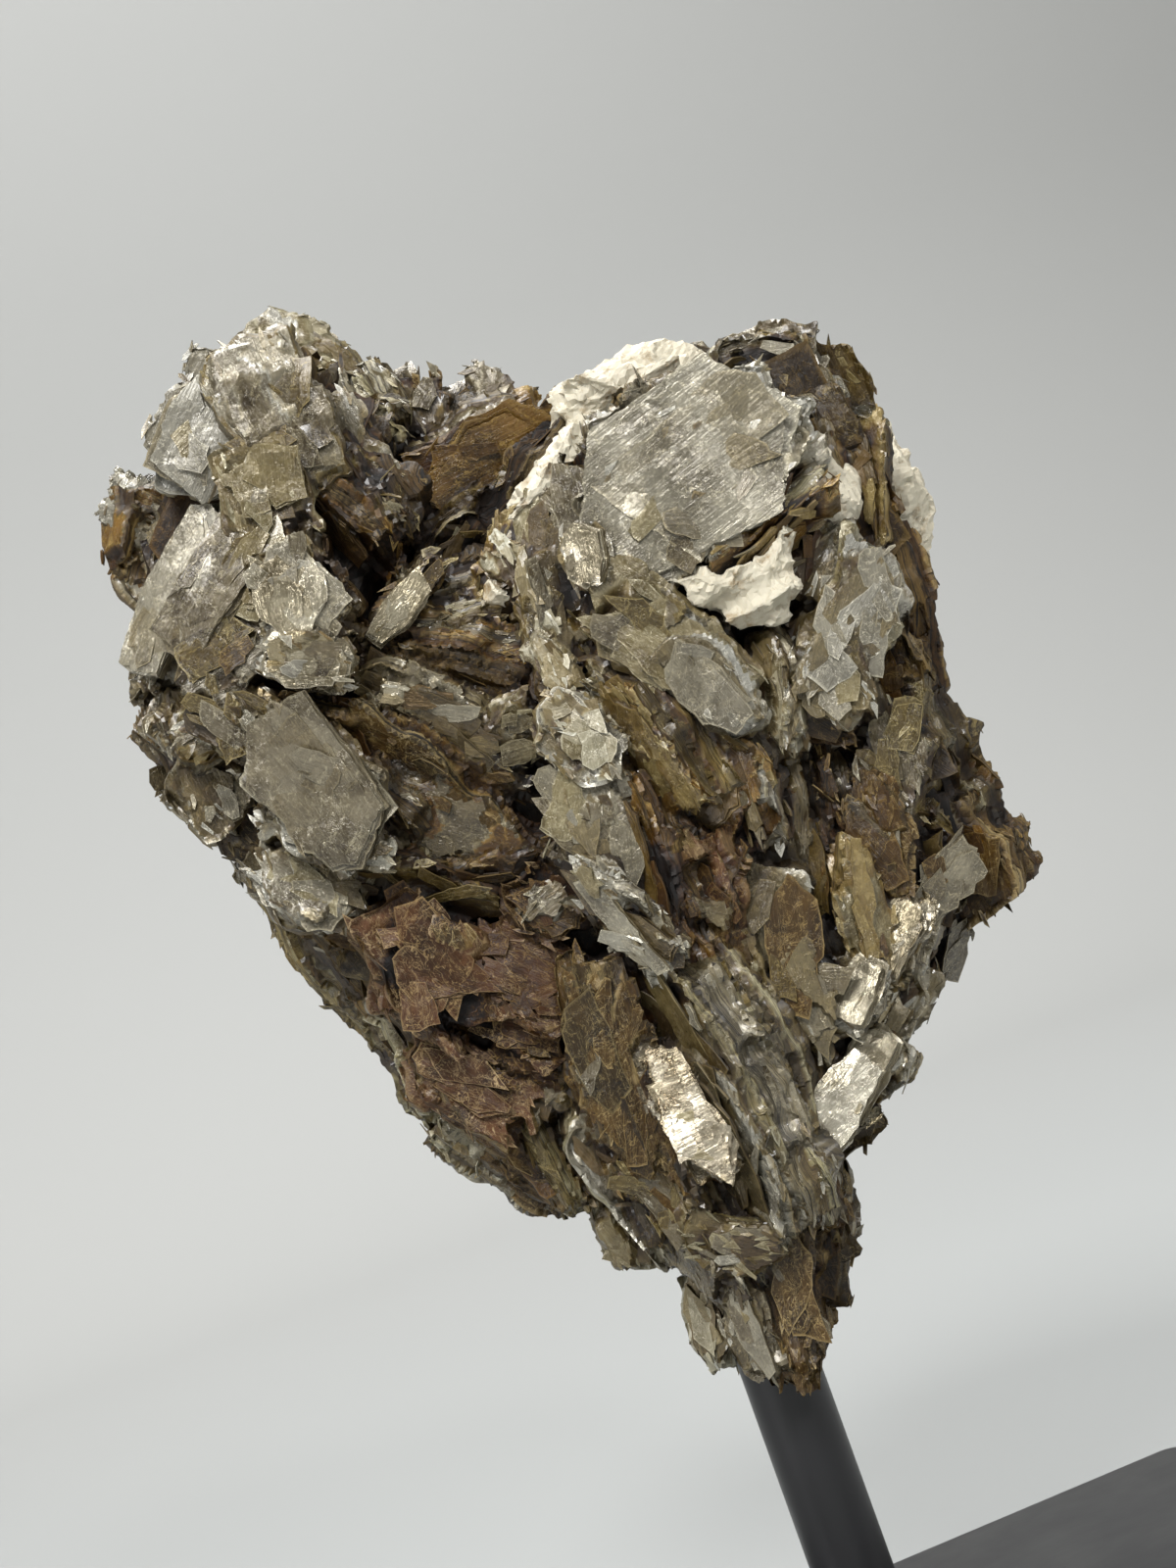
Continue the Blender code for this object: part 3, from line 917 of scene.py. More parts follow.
    def warped(self, book: Book, chance: Chance, flat: np.ndarray, height: np.ndarray) -> np.ndarray:
        """Bend and crumple a flat stack.

        Args:
            book: the book.
            chance: the random numbers.
            flat: the points in its sheets' plane.
            height: their heights in the stack.

        Returns:
            The points in the book's own axes, the stack's middle at zero.
        """
        x, y = flat[:, 0], flat[:, 1]
        u, v = x / (book.length / 2), y / (book.width / 2)
        z = (height - book.thick / 2) * (1 + book.fan * u)
        z = z - book.bend * u**2 + chance.uniform(-0.02, 0.02) * book.width * v**2
        size = min(book.length, book.width)
        for wave, swing in ((size * 1.1, 0.010), (size * 0.6, 0.004), (3.0, 0.0012)):
            for _ in range(2):
                way = chance.uniform(0, 2 * np.pi)
                phase = chance.uniform(0, 2 * np.pi)
                z = z + swing * size * np.sin((x * np.cos(way) + y * np.sin(way)) * 2 * np.pi / wave + phase)
        return np.stack([x, y, z], axis=1)

    def triangles(
        self, count: int, sheets: int, rings: int, tones: list[float]
    ) -> tuple[np.ndarray, np.ndarray, np.ndarray]:
        """List the triangles of a stack.

        Args:
            count: points round a ring.
            sheets: in the stack.
            rings: in all, with those inside the top face.
            tones: one a sheet.

        Returns:
            The triangles, and for each of them its rim and tone values.
        """
        i = np.arange(count)
        j = (i + 1) % count
        corners, rim, tone = [], [], []
        for r in range(rings - 1):
            low, high = r * count, (r + 1) * count
            corners.append(np.stack([low + i, low + j, high + j], axis=1))
            corners.append(np.stack([low + i, high + j, high + i], axis=1))
            on_rim = r < 2 * sheets and r % 2 == 0
            sheet = min(r // 2, sheets - 1)
            rim.append(np.full(2 * count, float(on_rim)))
            tone.append(np.full(2 * count, tones[sheet]))
        last, top, bottom = (rings - 1) * count, rings * count, rings * count + 1
        corners.append(np.stack([last + i, last + j, np.full(count, top)], axis=1))
        corners.append(np.stack([j, i, np.full(count, bottom)], axis=1))
        rim.append(np.zeros(2 * count))
        tone.append(np.full(2 * count, tones[-1]))
        return np.concatenate(corners), np.concatenate(rim), np.concatenate(tone)


@dataclass
class CleavedMass:
    """The body of a region: books grown through each other, then broken back along their sheets.

    The books' plain slabs are merged into one skin. Where the skin lies along a book's sheets it is
    brought onto the nearest of them, which leaves flats and ragged steps; where it cuts across them
    they stand out of each other as ribs.

    Attributes:
        cell: the size of the skin's cells, in millimetres.
        sheet: the usual thickness of a group of sheets that breaks as one, in millimetres.
        riser: the share of that thickness over which a step rises.
        swells: the size and height, in millimetres, of the swells that the steps follow.
        groove: how far a group of sheets stands out of the next where they are cut, in millimetres.
    """

    cell: float = 0.44
    sheet: float = 0.55
    riser: float = 0.22
    swells: tuple[tuple[float, float], ...] = ((6.0, 0.8), (2.4, 0.28), (0.9, 0.07))
    groove: float = 0.45

    def nearest(self, points: np.ndarray, books: list[Book]) -> tuple[np.ndarray, np.ndarray, np.ndarray]:
        """Find the book that each point belongs to.

        Args:
            points: the points, in metres.
            books: the books.

        Returns:
            The number of each point's book, its place in it in millimetres, and each book's face axis.
        """
        least = np.full(len(points), np.inf)
        owner = np.zeros(len(points), dtype=int)
        local = np.zeros((len(points), 3))
        axes = []
        ragged = value_noise(points / MM, 1.6, 5) * 0.5
        for number, book in enumerate(books):
            place = book.matrix()
            back = np.array(place.inverted())
            inside = (points @ back[:3, :3].T + back[:3, 3]) / MM
            half = np.array([book.length, book.width, book.thick]) / 2
            away = np.max(np.abs(inside) - half, axis=1) + ragged * (number % 3 - 1)
            closer = away < least
            least[closer], owner[closer], local[closer] = away[closer], number, inside[closer]
            axes.append(np.array(place)[:3, 2])
        return owner, local, np.array(axes)

    def build(self, name: str, books: list[Book], draft: Mesh, openness: Openness) -> Mesh:
        """Build the body.

        Args:
            name: the mesh's name.
            books: the region's books.
            draft: their plain shells.
            openness: what tells how deep a place lies.

        Returns:
            The mesh.
        """
        skin = voxel_skin(draft, self.cell, name)
        points, normals = (read(skin.vertices, value, 3).astype(float) for value in ("co", "normal"))
        owner, local, axes = self.nearest(points, books)
        chance = np.random.default_rng(zlib.crc32(name.encode()))
        facing = axes[owner]
        faceness = np.clip(np.abs(np.sum(normals * facing, axis=1)) * 1.6 - 0.35, 0, 1)
        calm = np.array([0.3 + 0.7 * min(book.split, 1.3) for book in books])[owner]
        through = local[:, 2].copy()
        for number, (size, height) in enumerate(self.swells):
            through += value_noise(points / MM, size, number) * height * calm
        gaps = np.minimum(chance.exponential(1, 260), 3.2) + 0.25
        shelves = np.cumsum(gaps) * self.sheet / 1.1
        shelves -= shelves[-1] / 2
        offsets = chance.uniform(-20, 20, len(books))[owner]
        at = np.clip(np.searchsorted(shelves, through + offsets) - 1, 0, len(shelves) - 2)
        low, high = shelves[at], shelves[at + 1]
        part = np.clip((through + offsets - low) / (high - low), 0, 1)
        rise = np.clip((part - 1 + self.riser) / self.riser, 0, 1)
        snapped = low + (high - low) * rise - offsets
        points += facing * ((snapped - local[:, 2]) * faceness)[:, None] * MM
        own = chance.uniform(-1, 1, (len(books), len(shelves)))[owner, at]
        across = value_noise(np.column_stack([local[:, :2] / 2.2, snapped]), 1.0, 9)
        out = (1 - faceness) * (self.groove * own + 0.35 * across)
        points += normals * out[:, None] * MM
        skin.vertices.foreach_set("co", points.astype(np.float32).ravel())
        skin.update()

        starts = read(skin.polygons, "loop_start", kind=np.int32)
        first = read(skin.loops, "vertex_index", kind=np.int32)[starts]
        leaning = np.abs(np.sum(read(skin.polygons, "normal", 3) * facing[first], axis=1))
        rim = np.clip(1.35 - leaning * 1.6, 0, 1)
        # Painted shade: each shelf's random tone is darkened by how closed in the point lies.
        deep = self.depth(points, normals, openness)
        spread = np.array([0.3 + 0.45 * min(book.split, 1.0) for book in books])[owner]
        tones = (1 - spread * chance.random((len(books), len(shelves)))[owner, at]) * deep
        edge = np.where(part > 1 - self.riser, rise, np.clip(1 - part / 0.18, 0, 1))
        finishes = list(Finish)
        choice = chance.random((len(books), len(shelves)))[owner, at][first]
        table = np.array([[finishes.index(k) for k in (book.finish, *KIN[book.finish])] for book in books])
        which = np.select([choice < 0.62, choice < 0.78, choice < 0.90], [0, 1, 2], 3)
        used, slots = np.unique(table[owner[first], which], return_inverse=True)
        for number in used:
            skin.materials.append(finishes[number].material())
        skin.polygons.foreach_set("material_index", slots.astype(np.int32))
        skin.polygons.foreach_set("use_smooth", np.ones(len(starts), dtype=bool))
        # The edge value that the material paints from: a highlight at a step's free edge, and painted shade in
        # the crease under it.
        edge_light = edge * faceness + (1 - faceness) * (0.5 + 0.4 * own)
        store(skin, "POINT", edge=edge_light)
        store(skin, "FACE", rim=rim)
        store(skin, "POINT", tone=tones)
        placed = np.column_stack([local[:, :2], through]) + chance.uniform(0, 100, (len(books), 3))[owner]
        runs = np.array([np.array(book.matrix())[:3, 0] for book in books])[owner]
        store(skin, "POINT", grain=placed, run=runs)
        skin.set_sharp_from_angle(angle=radians(26))
        return skin

    def depth(self, points: np.ndarray, normals: np.ndarray, openness: Openness) -> np.ndarray:
        """Find the painted shade on each point of the skin, from 0 deep in a crevice to 1 in the open.

        Args:
            points: the points, in metres.
            normals: their normals.
            openness: what tells how deep a place lies.

        Returns:
            A value for each point.
        """
        cell = np.floor(points / (2.0 * MM)).astype(np.int64)
        _, some = np.unique(cell, axis=0, return_index=True)
        tree = kdtree.KDTree(len(some))
        values = []
        for number, index in enumerate(some):
            start = Vector(points[index] + normals[index] * 0.5 * MM)
            values.append(openness.share([start]))
            tree.insert(start, number)
        tree.balance()
        found = np.empty(len(points))
        for index, point in enumerate(points):
            close = tree.find_n(point, 3)
            weights = [1 / (away + 0.3 * MM) for _, _, away in close]
            found[index] = sum(w * values[n] for w, (_, n, _) in zip(weights, close)) / sum(weights)
        return np.clip(found * 2.1, 0, 1)


@dataclass
class MicaRegion:
    """One region of the cluster: its books, and the thin leaves that have split off them.

    Attributes:
        name: the piece's name.
        books: the books in it.
        leaves: how many leaves split off each 100 square millimetres of a book's face.
        splinters: how many splinters are wedged in round each book.
        deepest_lined: how far back a book may be, in millimetres, and still have a lining under it.
        cover: how far a book's clear cover stands over it, in millimetres.
        cover_thick: the thickness of a cover, in millimetres.
        mass: what merges the books into one body.
    """

    name: str
    books: list[Book]
    leaves: float = 7.5
    splinters: int = 5
    deepest_lined: float = -6.0
    cover: float = 1.1
    cover_thick: float = 1.3
    mass: CleavedMass = field(default_factory=CleavedMass)

    def leaves_of(self, book: Book, chance: Chance) -> Iterable[tuple[Book, Matrix]]:
        """Split thin leaves off a book, nearly parallel to it, through its whole thickness.

        Args:
            book: the book.
            chance: the random numbers.

        Yields:
            Each leaf, and its place on the book in metres.
        """
        finishes = [book.finish] * 5 + list(KIN[book.finish])
        number = int(round((book.length * book.width * self.leaves / 100 + 6) * book.split))
        for index in range(number):
            loose = chance.random() < (0.55 if abs(book.lean) < 35 else 0.8)
            share = chance.uniform(0.15, 0.5) if loose else chance.uniform(0.4, 0.95)
            length, width = book.length * share, book.width * share * chance.uniform(0.5, 1.1)
            angle, reach = chance.uniform(0, 2 * pi), chance.uniform(0.15, 1.0) ** 0.5
            u, v = reach * (1 - share * 0.9) * cos(angle), reach * (1 - share * 0.9) * sin(angle)
            on_top = chance.random() < 0.6
            depth = chance.uniform(0, 1) ** 0.7
            z = book.thick * (0.5 if on_top else depth - 0.5) + chance.uniform(-0.25, 0.12)
            z += self.cover if on_top and book.cover else 0.0
            leaf = Book(
                f"{book.name}_leaf_{index}", 0, 0, 0, length, width, chance.uniform(0.12, 0.4), 0, 0,
                finishes[int(chance.integers(len(finishes)))],
                bend=book.bend * share**2 + length * chance.uniform(-0.02, 0.04),
            )
            place = Matrix.Translation(
                Vector((u * book.length / 2, v * book.width / 2, z - book.bend * u**2)) * MM
            )
            swing = 6.0 if loose else 1.2
            spin = Matrix.Rotation(radians(chance.normal(0, 25 if loose else 12)), 4, "Z")
            tip = Matrix.Rotation(radians(chance.normal(0, swing)), 4, "X")
            roll = Matrix.Rotation(radians(chance.normal(0, swing)), 4, "Y")
            yield leaf, place @ spin @ tip @ roll

    def lining_of(self, book: Book, chance: Chance) -> Book:
        """Draw the wider book that lies under a book and closes the gaps round it.

        Args:
            book: the book.
            chance: the random numbers.

        Returns:
            The lining.
        """
        return Book(
            f"{book.name}_lining",
            book.across + chance.normal(0, 0.6),
            book.up + chance.normal(0, 0.6),
            book.back + book.thick * 0.45 + 1.2,
            book.length * 1.25,
            book.width * 1.35,
            book.thick * 0.9,
            book.run + chance.normal(0, 9),
            book.lean * 0.85 + chance.normal(0, 9),
            (book.finish, book.finish, *KIN[book.finish])[int(chance.integers(5))],
        )

    def splinters_of(self, book: Book, chance: Chance) -> Iterable[tuple[Book, Matrix]]:
        """Wedge narrow splinters in round a book's edge, tipped out of its plane.

        Args:
            book: the book.
            chance: the random numbers.

        Yields:
            Each splinter, and its place on the book in metres.
        """
        finishes = [*KIN[book.finish], book.finish, Finish.BROWN, Finish.OLIVE]
        for index in range(int(self.splinters * min(1.0, book.thick / 4)) if book.split else 0):
            angle = chance.uniform(0, 2 * pi)
            length = min(book.length * chance.uniform(0.25, 0.6), 9.0)
            splinter = Book(
                f"{book.name}_splinter_{index}", 0, 0, 0,
                length, length * chance.uniform(0.25, 0.5), length * chance.uniform(0.05, 0.16), 0, 0,
                finishes[int(chance.integers(len(finishes)))],
                fan=chance.uniform(-0.4, 0.4),
            )
            u, v = 0.86 * cos(angle), 0.86 * sin(angle)
            z = book.thick * chance.uniform(0.1, 0.5) - 0.6 - book.bend * u**2
            place = Matrix.Translation(Vector((u * book.length / 2, v * book.width / 2, z)) * MM)
            spin = Matrix.Rotation(radians(chance.normal(0, 22)), 4, "Z")
            tip = Matrix.Rotation(radians(chance.uniform(20, 75) * chance.choice([-1, 1])), 4, "X")
            yield splinter, place @ spin @ tip

    def build(self, openness: Openness) -> list[Object]:
        """Build the region: its body, and the leaves on it.

        Args:
            openness: what tells which leaves would show.

        Returns:
            The pieces.
        """
        shells, draft = Shells(), Shells()
        slabs = SheetStack(sheet=1.2, point_spacing=1.6, most_sheets=5, rag=0.5, inner_rings=(0.6,))
        covers = SheetStack(
            sheet=0.2,
            point_spacing=0.7,
            most_sheets=7,
            rag=0.16,
            sides=(6, 9),
            step_chance=0.5,
            inner_rings=(0.985, 0.8, 0.6, 0.4, 0.2),
        )
        blocks = SheetStack(sheet=0.8, point_spacing=1.4, most_sheets=1, rag=0.3, inner_rings=())
        leaves = SheetStack(sheet=0.2, point_spacing=1.0, most_sheets=2, rag=0.24, inner_rings=(0.88,))
        for book in self.books:
            chance = np.random.default_rng(zlib.crc32(book.name.encode()))
            place = book.matrix()
            grown = replace(book, length=book.length * 1.07 + 0.8, width=book.width * 1.07 + 0.8)
            slabs.build(grown, chance, place, draft)
            if book.cover:
                over = book.thick / 2 + self.cover - self.cover_thick / 2
                lift = Matrix.Translation((0, 0, over * MM))
                tip = Matrix.Rotation(radians(chance.uniform(-1.5, 1.5)), 4, "X")
                covers.build(replace(grown, thick=self.cover_thick), chance, place @ lift @ tip, shells)
            if book.back < self.deepest_lined and book.split:
                lining = self.lining_of(book, chance)
                slabs.build(lining, chance, lining.matrix(), draft)
            for splinter, on_book in self.splinters_of(book, chance):
                solid = replace(splinter, thick=max(splinter.thick, self.mass.cell * 1.6))
                blocks.build(solid, chance, place @ on_book, draft)
            for leaf, on_book in self.leaves_of(book, chance):
                self.lay(leaf, place @ on_book, leaves, shells, openness)
        body = self.mass.build(self.name, self.books, draft.mesh("draft"), openness)
        piece = link_object(self.name, body)
        body.calc_loop_triangles()
        loose = link_object(f"{self.name}_leaves", shells.mesh(f"{self.name}_leaves"))
        LOG.info("%s: %d books, %d triangles", self.name, len(self.books), len(body.loop_triangles))
        LOG.info("%s: leaves, %d triangles", self.name, shells.count())
        return [piece, loose]

    def lay(self, leaf: Book, place: Matrix, stacks: SheetStack, shells: Shells, openness: Openness) -> None:
        """Build a leaf unless it would lie buried.

        Args:
            leaf: the leaf.
            place: from its own axes to the stand.
            stacks: what builds it.
            shells: where it goes.
            openness: what tells how deep it lies.
        """
        spots = ((0, 0), (0.42, 0), (-0.42, 0), (0, 0.42), (0, -0.42))
        points = [place @ (Vector((x * leaf.length, y * leaf.width, 0)) * MM) for x, y in spots]
        clear = openness.share(points)
        if clear > 0.03:
            chance = np.random.default_rng(zlib.crc32(leaf.name.encode()))
            # A closed-in leaf gets a darker tone: painted shade.
            stacks.build(leaf, chance, place, shells, min(1.0, 0.25 + clear * 1.9))


@dataclass
class FlakeScatter:
    """Small broken flakes caught all over the cluster, laid by Geometry Nodes.

    Attributes:
        spacing: between the places tried, seen from each side, in millimetres.
        smallest, largest: the sizes of flakes, as shares of their pattern.
        tilt: how far a flake tips off the face it lies on, in degrees.
        spin: how far it turns from the run of the sheets, in degrees.
        on_leaves: the share of the places on leaves that are kept.
        patterns: how many different flakes there are.
        seed: of the scatter.
    """

    spacing: float = 2.1
    smallest: float = 0.3
    largest: float = 1.0
    tilt: float = 10.0
    spin: float = 24.0
    on_leaves: float = 0.05
    patterns: int = 12
    seed: int = 11

    def sides(self) -> list[tuple[Vector, float]]:
        """List the sides that places are looked for from.

        Returns:
            The way from each side to the middle, and how close together the places are tried.
        """
        turned = ELEVATION.matrix().to_3x3()
        front = [(0, 1, 0), (0.5, 1, 0.4), (-0.5, 1, 0.4), (0.5, 1, -0.4), (-0.5, 1, -0.4)]
        others = [(1, 0.1, 0), (-1, 0.1, 0), (0, 0.2, -1), (0, 0.2, 1)]
        others += [(0, -1, 0), (0.7, -1, -0.5), (-0.7, -1, 0.5)]
        found = [((turned @ Vector(way)).normalized(), self.spacing) for way in front]
        return found + [((turned @ Vector(way)).normalized(), self.spacing * 1.7) for way in others]

    def places(self, pieces: list[Object]) -> Mesh:
        """Find places on the open faces of the pieces.

        Args:
            pieces: what the flakes lie on.

        Returns:
            A mesh of points, each with the way that its face looks, its finish and its tone.
        """
        chance = np.random.default_rng(self.seed)
        titles = [finish.title() for finish in Finish]
        graph = bpy.context.evaluated_depsgraph_get()
        scene = bpy.context.scene
        middle = Vector((0, 0, ELEVATION.middle_height))
        spots, ways, kinds, runs = [], [], [], []
        for way, spacing in self.sides():
            across = way.orthogonal().normalized()
            other = way.cross(across)
            steps = np.arange(-68, 68, spacing)
            for u, v in itertools.product(steps, steps):
                u, v = u + chance.uniform(-0.5, 0.5) * spacing, v + chance.uniform(-0.5, 0.5) * spacing
                start = middle + (across * u + other * v) * MM - way * 0.15
                hit, spot, facing, index, met, _ = scene.ray_cast(graph, start, way, distance=0.3)
                if not hit or met.original not in pieces:
                    continue
                if met.name.endswith("leaves") and chance.random() > self.on_leaves:
                    continue
                mesh = met.original.data
                polygon = mesh.polygons[index]
                runs.append(mesh.attributes["run"].data[polygon.vertices[0]].vector.copy())
                spots.append(spot)
                ways.append(facing if facing.dot(way) < 0 else -facing)
                kinds.append(titles.index(mesh.materials[polygon.material_index].name))
        host = bpy.data.meshes.new("flake_places")
        host.from_pydata(spots, [], [])
        store(host, "POINT", facing=ways, run=runs)
        finish = host.attributes.new("finish", "INT", "POINT")
        finish.data.foreach_set("value", np.array(kinds, np.int32))
        store(host, "POINT", tone=chance.uniform(0.3, 1.0, len(spots)))
        return host

    def shapes(self) -> Collection:
        """Make the patterns that the flakes are copies of.

        Returns:
            A collection with one object for each pattern.
        """
        held = bpy.data.collections.new("flake_patterns")
        stack = SheetStack(
            sheet=0.2, point_spacing=1.3, most_sheets=1, rag=0.08, sides=(3, 6), inner_rings=()
        )
        chance = np.random.default_rng(self.seed)
        for number in range(self.patterns):
            shells = Shells()
            flake = Book(
                f"flake_{number}", 0, 0, 0, 3.2, chance.uniform(0.5, 1.3), 0.1, 0, 0, Finish.SILVER,
                bend=chance.uniform(-0.1, 0.25),
            )
            stack.build(flake, chance, Matrix.Identity(4), shells)
            mesh = shells.mesh(flake.name)
            mesh.attributes.remove(mesh.attributes["tone"])
            held.objects.link(bpy.data.objects.new(flake.name, mesh))
        return held

    def tree(self) -> NodeTree:
        """Build the node group that lays a flake on every point.

        Returns:
            The node group, with its inputs named.
        """
        tree = bpy.data.node_groups.new("flake_scatter", "GeometryNodeTree")
        add = partial(add_node, tree)
        numbers = {name: "Float" for name in ("Smallest", "Largest", "Tilt", "Spin")}
        for name, kind in {"Geometry": "Geometry", "Patterns": "Collection", **numbers, "Seed": "Int"}.items():
            tree.interface.new_socket(name, in_out="INPUT", socket_type=f"NodeSocket{kind}")
        tree.interface.new_socket("Geometry", in_out="OUTPUT", socket_type="NodeSocketGeometry")
        given = add("NodeGroupInput", out=None).outputs
        seed = given["Seed"]
        held = {"Collection": given["Patterns"], "Separate Children": True}
        patterns = add("GeometryNodeCollectionInfo", held)

        # Each flake lies on its face, along the run of the sheets there, tipped and spun a little.
        facing, run = (
            add("GeometryNodeInputNamedAttribute", {"Name": name}, data_type="FLOAT_VECTOR")
            for name in ("facing", "run")
        )
        laid = add("FunctionNodeAlignRotationToVector", {"Vector": facing}, axis="Z")
        along = {"Rotation": laid, "Vector": run}
        laid = add("FunctionNodeAlignRotationToVector", along, axis="X", pivot_axis="Z")
        most = add("ShaderNodeCombineXYZ", {0: given["Tilt"], 1: given["Tilt"], 2: given["Spin"]})
        least = add("ShaderNodeVectorMath", {0: most, "Scale": -1.0}, operation="SCALE")
        turn = add("FunctionNodeRandomValue", {0: least, 1: most, "Seed": seed}, data_type="FLOAT_VECTOR")
        turn = add("FunctionNodeEulerToRotation", {0: turn})
        turned = add("FunctionNodeRotateRotation", {0: laid, 1: turn}, rotation_space="LOCAL")
        sizes = {2: given["Smallest"], 3: given["Largest"], "Seed": seed}
        size = add("FunctionNodeRandomValue", sizes, out=1, data_type="FLOAT")
        choice = {4: 0, 5: self.patterns - 1, "Seed": seed}
        which = add("FunctionNodeRandomValue", choice, out=2, data_type="INT")
        placed = add(
            "GeometryNodeInstanceOnPoints",
            {
                "Points": given["Geometry"],
                "Instance": patterns,
                "Pick Instance": True,
                "Instance Index": which,
                "Rotation": turned,
                "Scale": size,
            },
        )
        flakes = add("GeometryNodeRealizeInstances", {0: placed})
        finish = add("GeometryNodeInputNamedAttribute", {"Name": "finish"}, data_type="INT")
        for number, kind in enumerate(Finish):
            same = add("FunctionNodeCompare", {2: finish, 3: number}, data_type="INT", operation="EQUAL")
            flakes = add("GeometryNodeSetMaterial", {0: flakes, 1: same, 2: kind.material()})
        add("NodeGroupOutput", {0: flakes}, out=None)
        return tree

    def build(self, pieces: list[Object]) -> Object:
        """Scatter the flakes and bake them to a plain mesh.

        Args:
            pieces: what they lie on.

        Returns:
            The piece.
        """
        bpy.context.view_layer.update()
        host = link_object("mica_flakes", self.places(pieces))
        held, tree = self.shapes(), self.tree()
        scatter = host.modifiers.new("flake_scatter", "NODES")
        scatter.node_group = tree
        given = {
            "Patterns": held,
            "Smallest": self.smallest,
            "Largest": self.largest,
            "Tilt": radians(self.tilt),
            "Spin": radians(self.spin),
            "Seed": self.seed,
        }
        for socket in tree.interface.items_tree:
            if socket.in_out == "INPUT" and socket.name in given:
                scatter[socket.identifier] = given[socket.name]
        graph = bpy.context.evaluated_depsgraph_get()
        baked = bpy.data.meshes.new_from_object(host.evaluated_get(graph))
        host.modifiers.clear()
        host.data = baked
        baked.name = "mica_flakes"
        for pattern in list(held.objects):
            bpy.data.objects.remove(pattern)
        bpy.data.collections.remove(held)
        baked.calc_loop_triangles()
        LOG.info("mica_flakes: %d triangles", len(baked.loop_triangles))
        return host


F = Finish
KIN: dict[Finish, tuple[Finish, ...]] = {
    F.SILVER: (F.PEARL, F.SLATE, F.SAGE),
    F.PEARL: (F.SILVER, F.SAGE, F.PEARL),
    F.SLATE: (F.SILVER, F.BROWN, F.OLIVE),
    F.SAGE: (F.SILVER, F.OLIVE, F.SLATE),
    F.OLIVE: (F.SAGE, F.BROWN, F.SLATE),
    F.AMBER: (F.BROWN, F.GOLD, F.OLIVE),
    F.BROWN: (F.DARK, F.AMBER, F.SLATE),
    F.DARK: (F.BROWN, F.SLATE, F.DARK),
    F.GOLD: (F.AMBER, F.OLIVE, F.SAGE),
    F.ROSE: (F.ROSE, F.BROWN, F.ROSE),
    F.FOIL: (F.SILVER, F.PEARL, F.SLATE),
    F.WHITE: (F.SILVER, F.SAGE, F.WHITE),
    F.CLEAR: (F.CLEAR, F.SILVER, F.SILVER),
    F.CREAM: (F.FOIL, F.SAGE, F.SILVER),
}

# The bodies inside the cluster are mostly DARK, so the gaps between the outer books show dark: painted shade.
INTERIOR = [
    Book("left_body", -29.5, 24, 3, 34, 27, 24, 80, -8, F.DARK),
    Book("left_low_body", -28.5, 3, 2, 28, 26, 20, -40, -6, F.DARK),
    Book("valley_body", -13, 20, 7, 34, 32, 18, 30, 8, F.BROWN),
    Book("right_body", 16.5, 26, 3, 34, 31, 22, -60, 6, F.DARK),
    Book("middle_body", 4, 4, 0, 44, 38, 22, -40, 0, F.DARK),
    Book("belly_body", 25, 0, 1, 42, 26, 22, -72, 10, F.DARK),
    Book("rose_body", -11.5, -14.5, 3, 36, 25, 20, -48, -8, F.DARK),
    Book("lower_body", 11.5, -23, -2, 38, 25, 22, -62, 0, F.DARK),
    Book("tip_body", 19.5, -42, -6, 22, 11, 12, -78, 0, F.DARK),
]
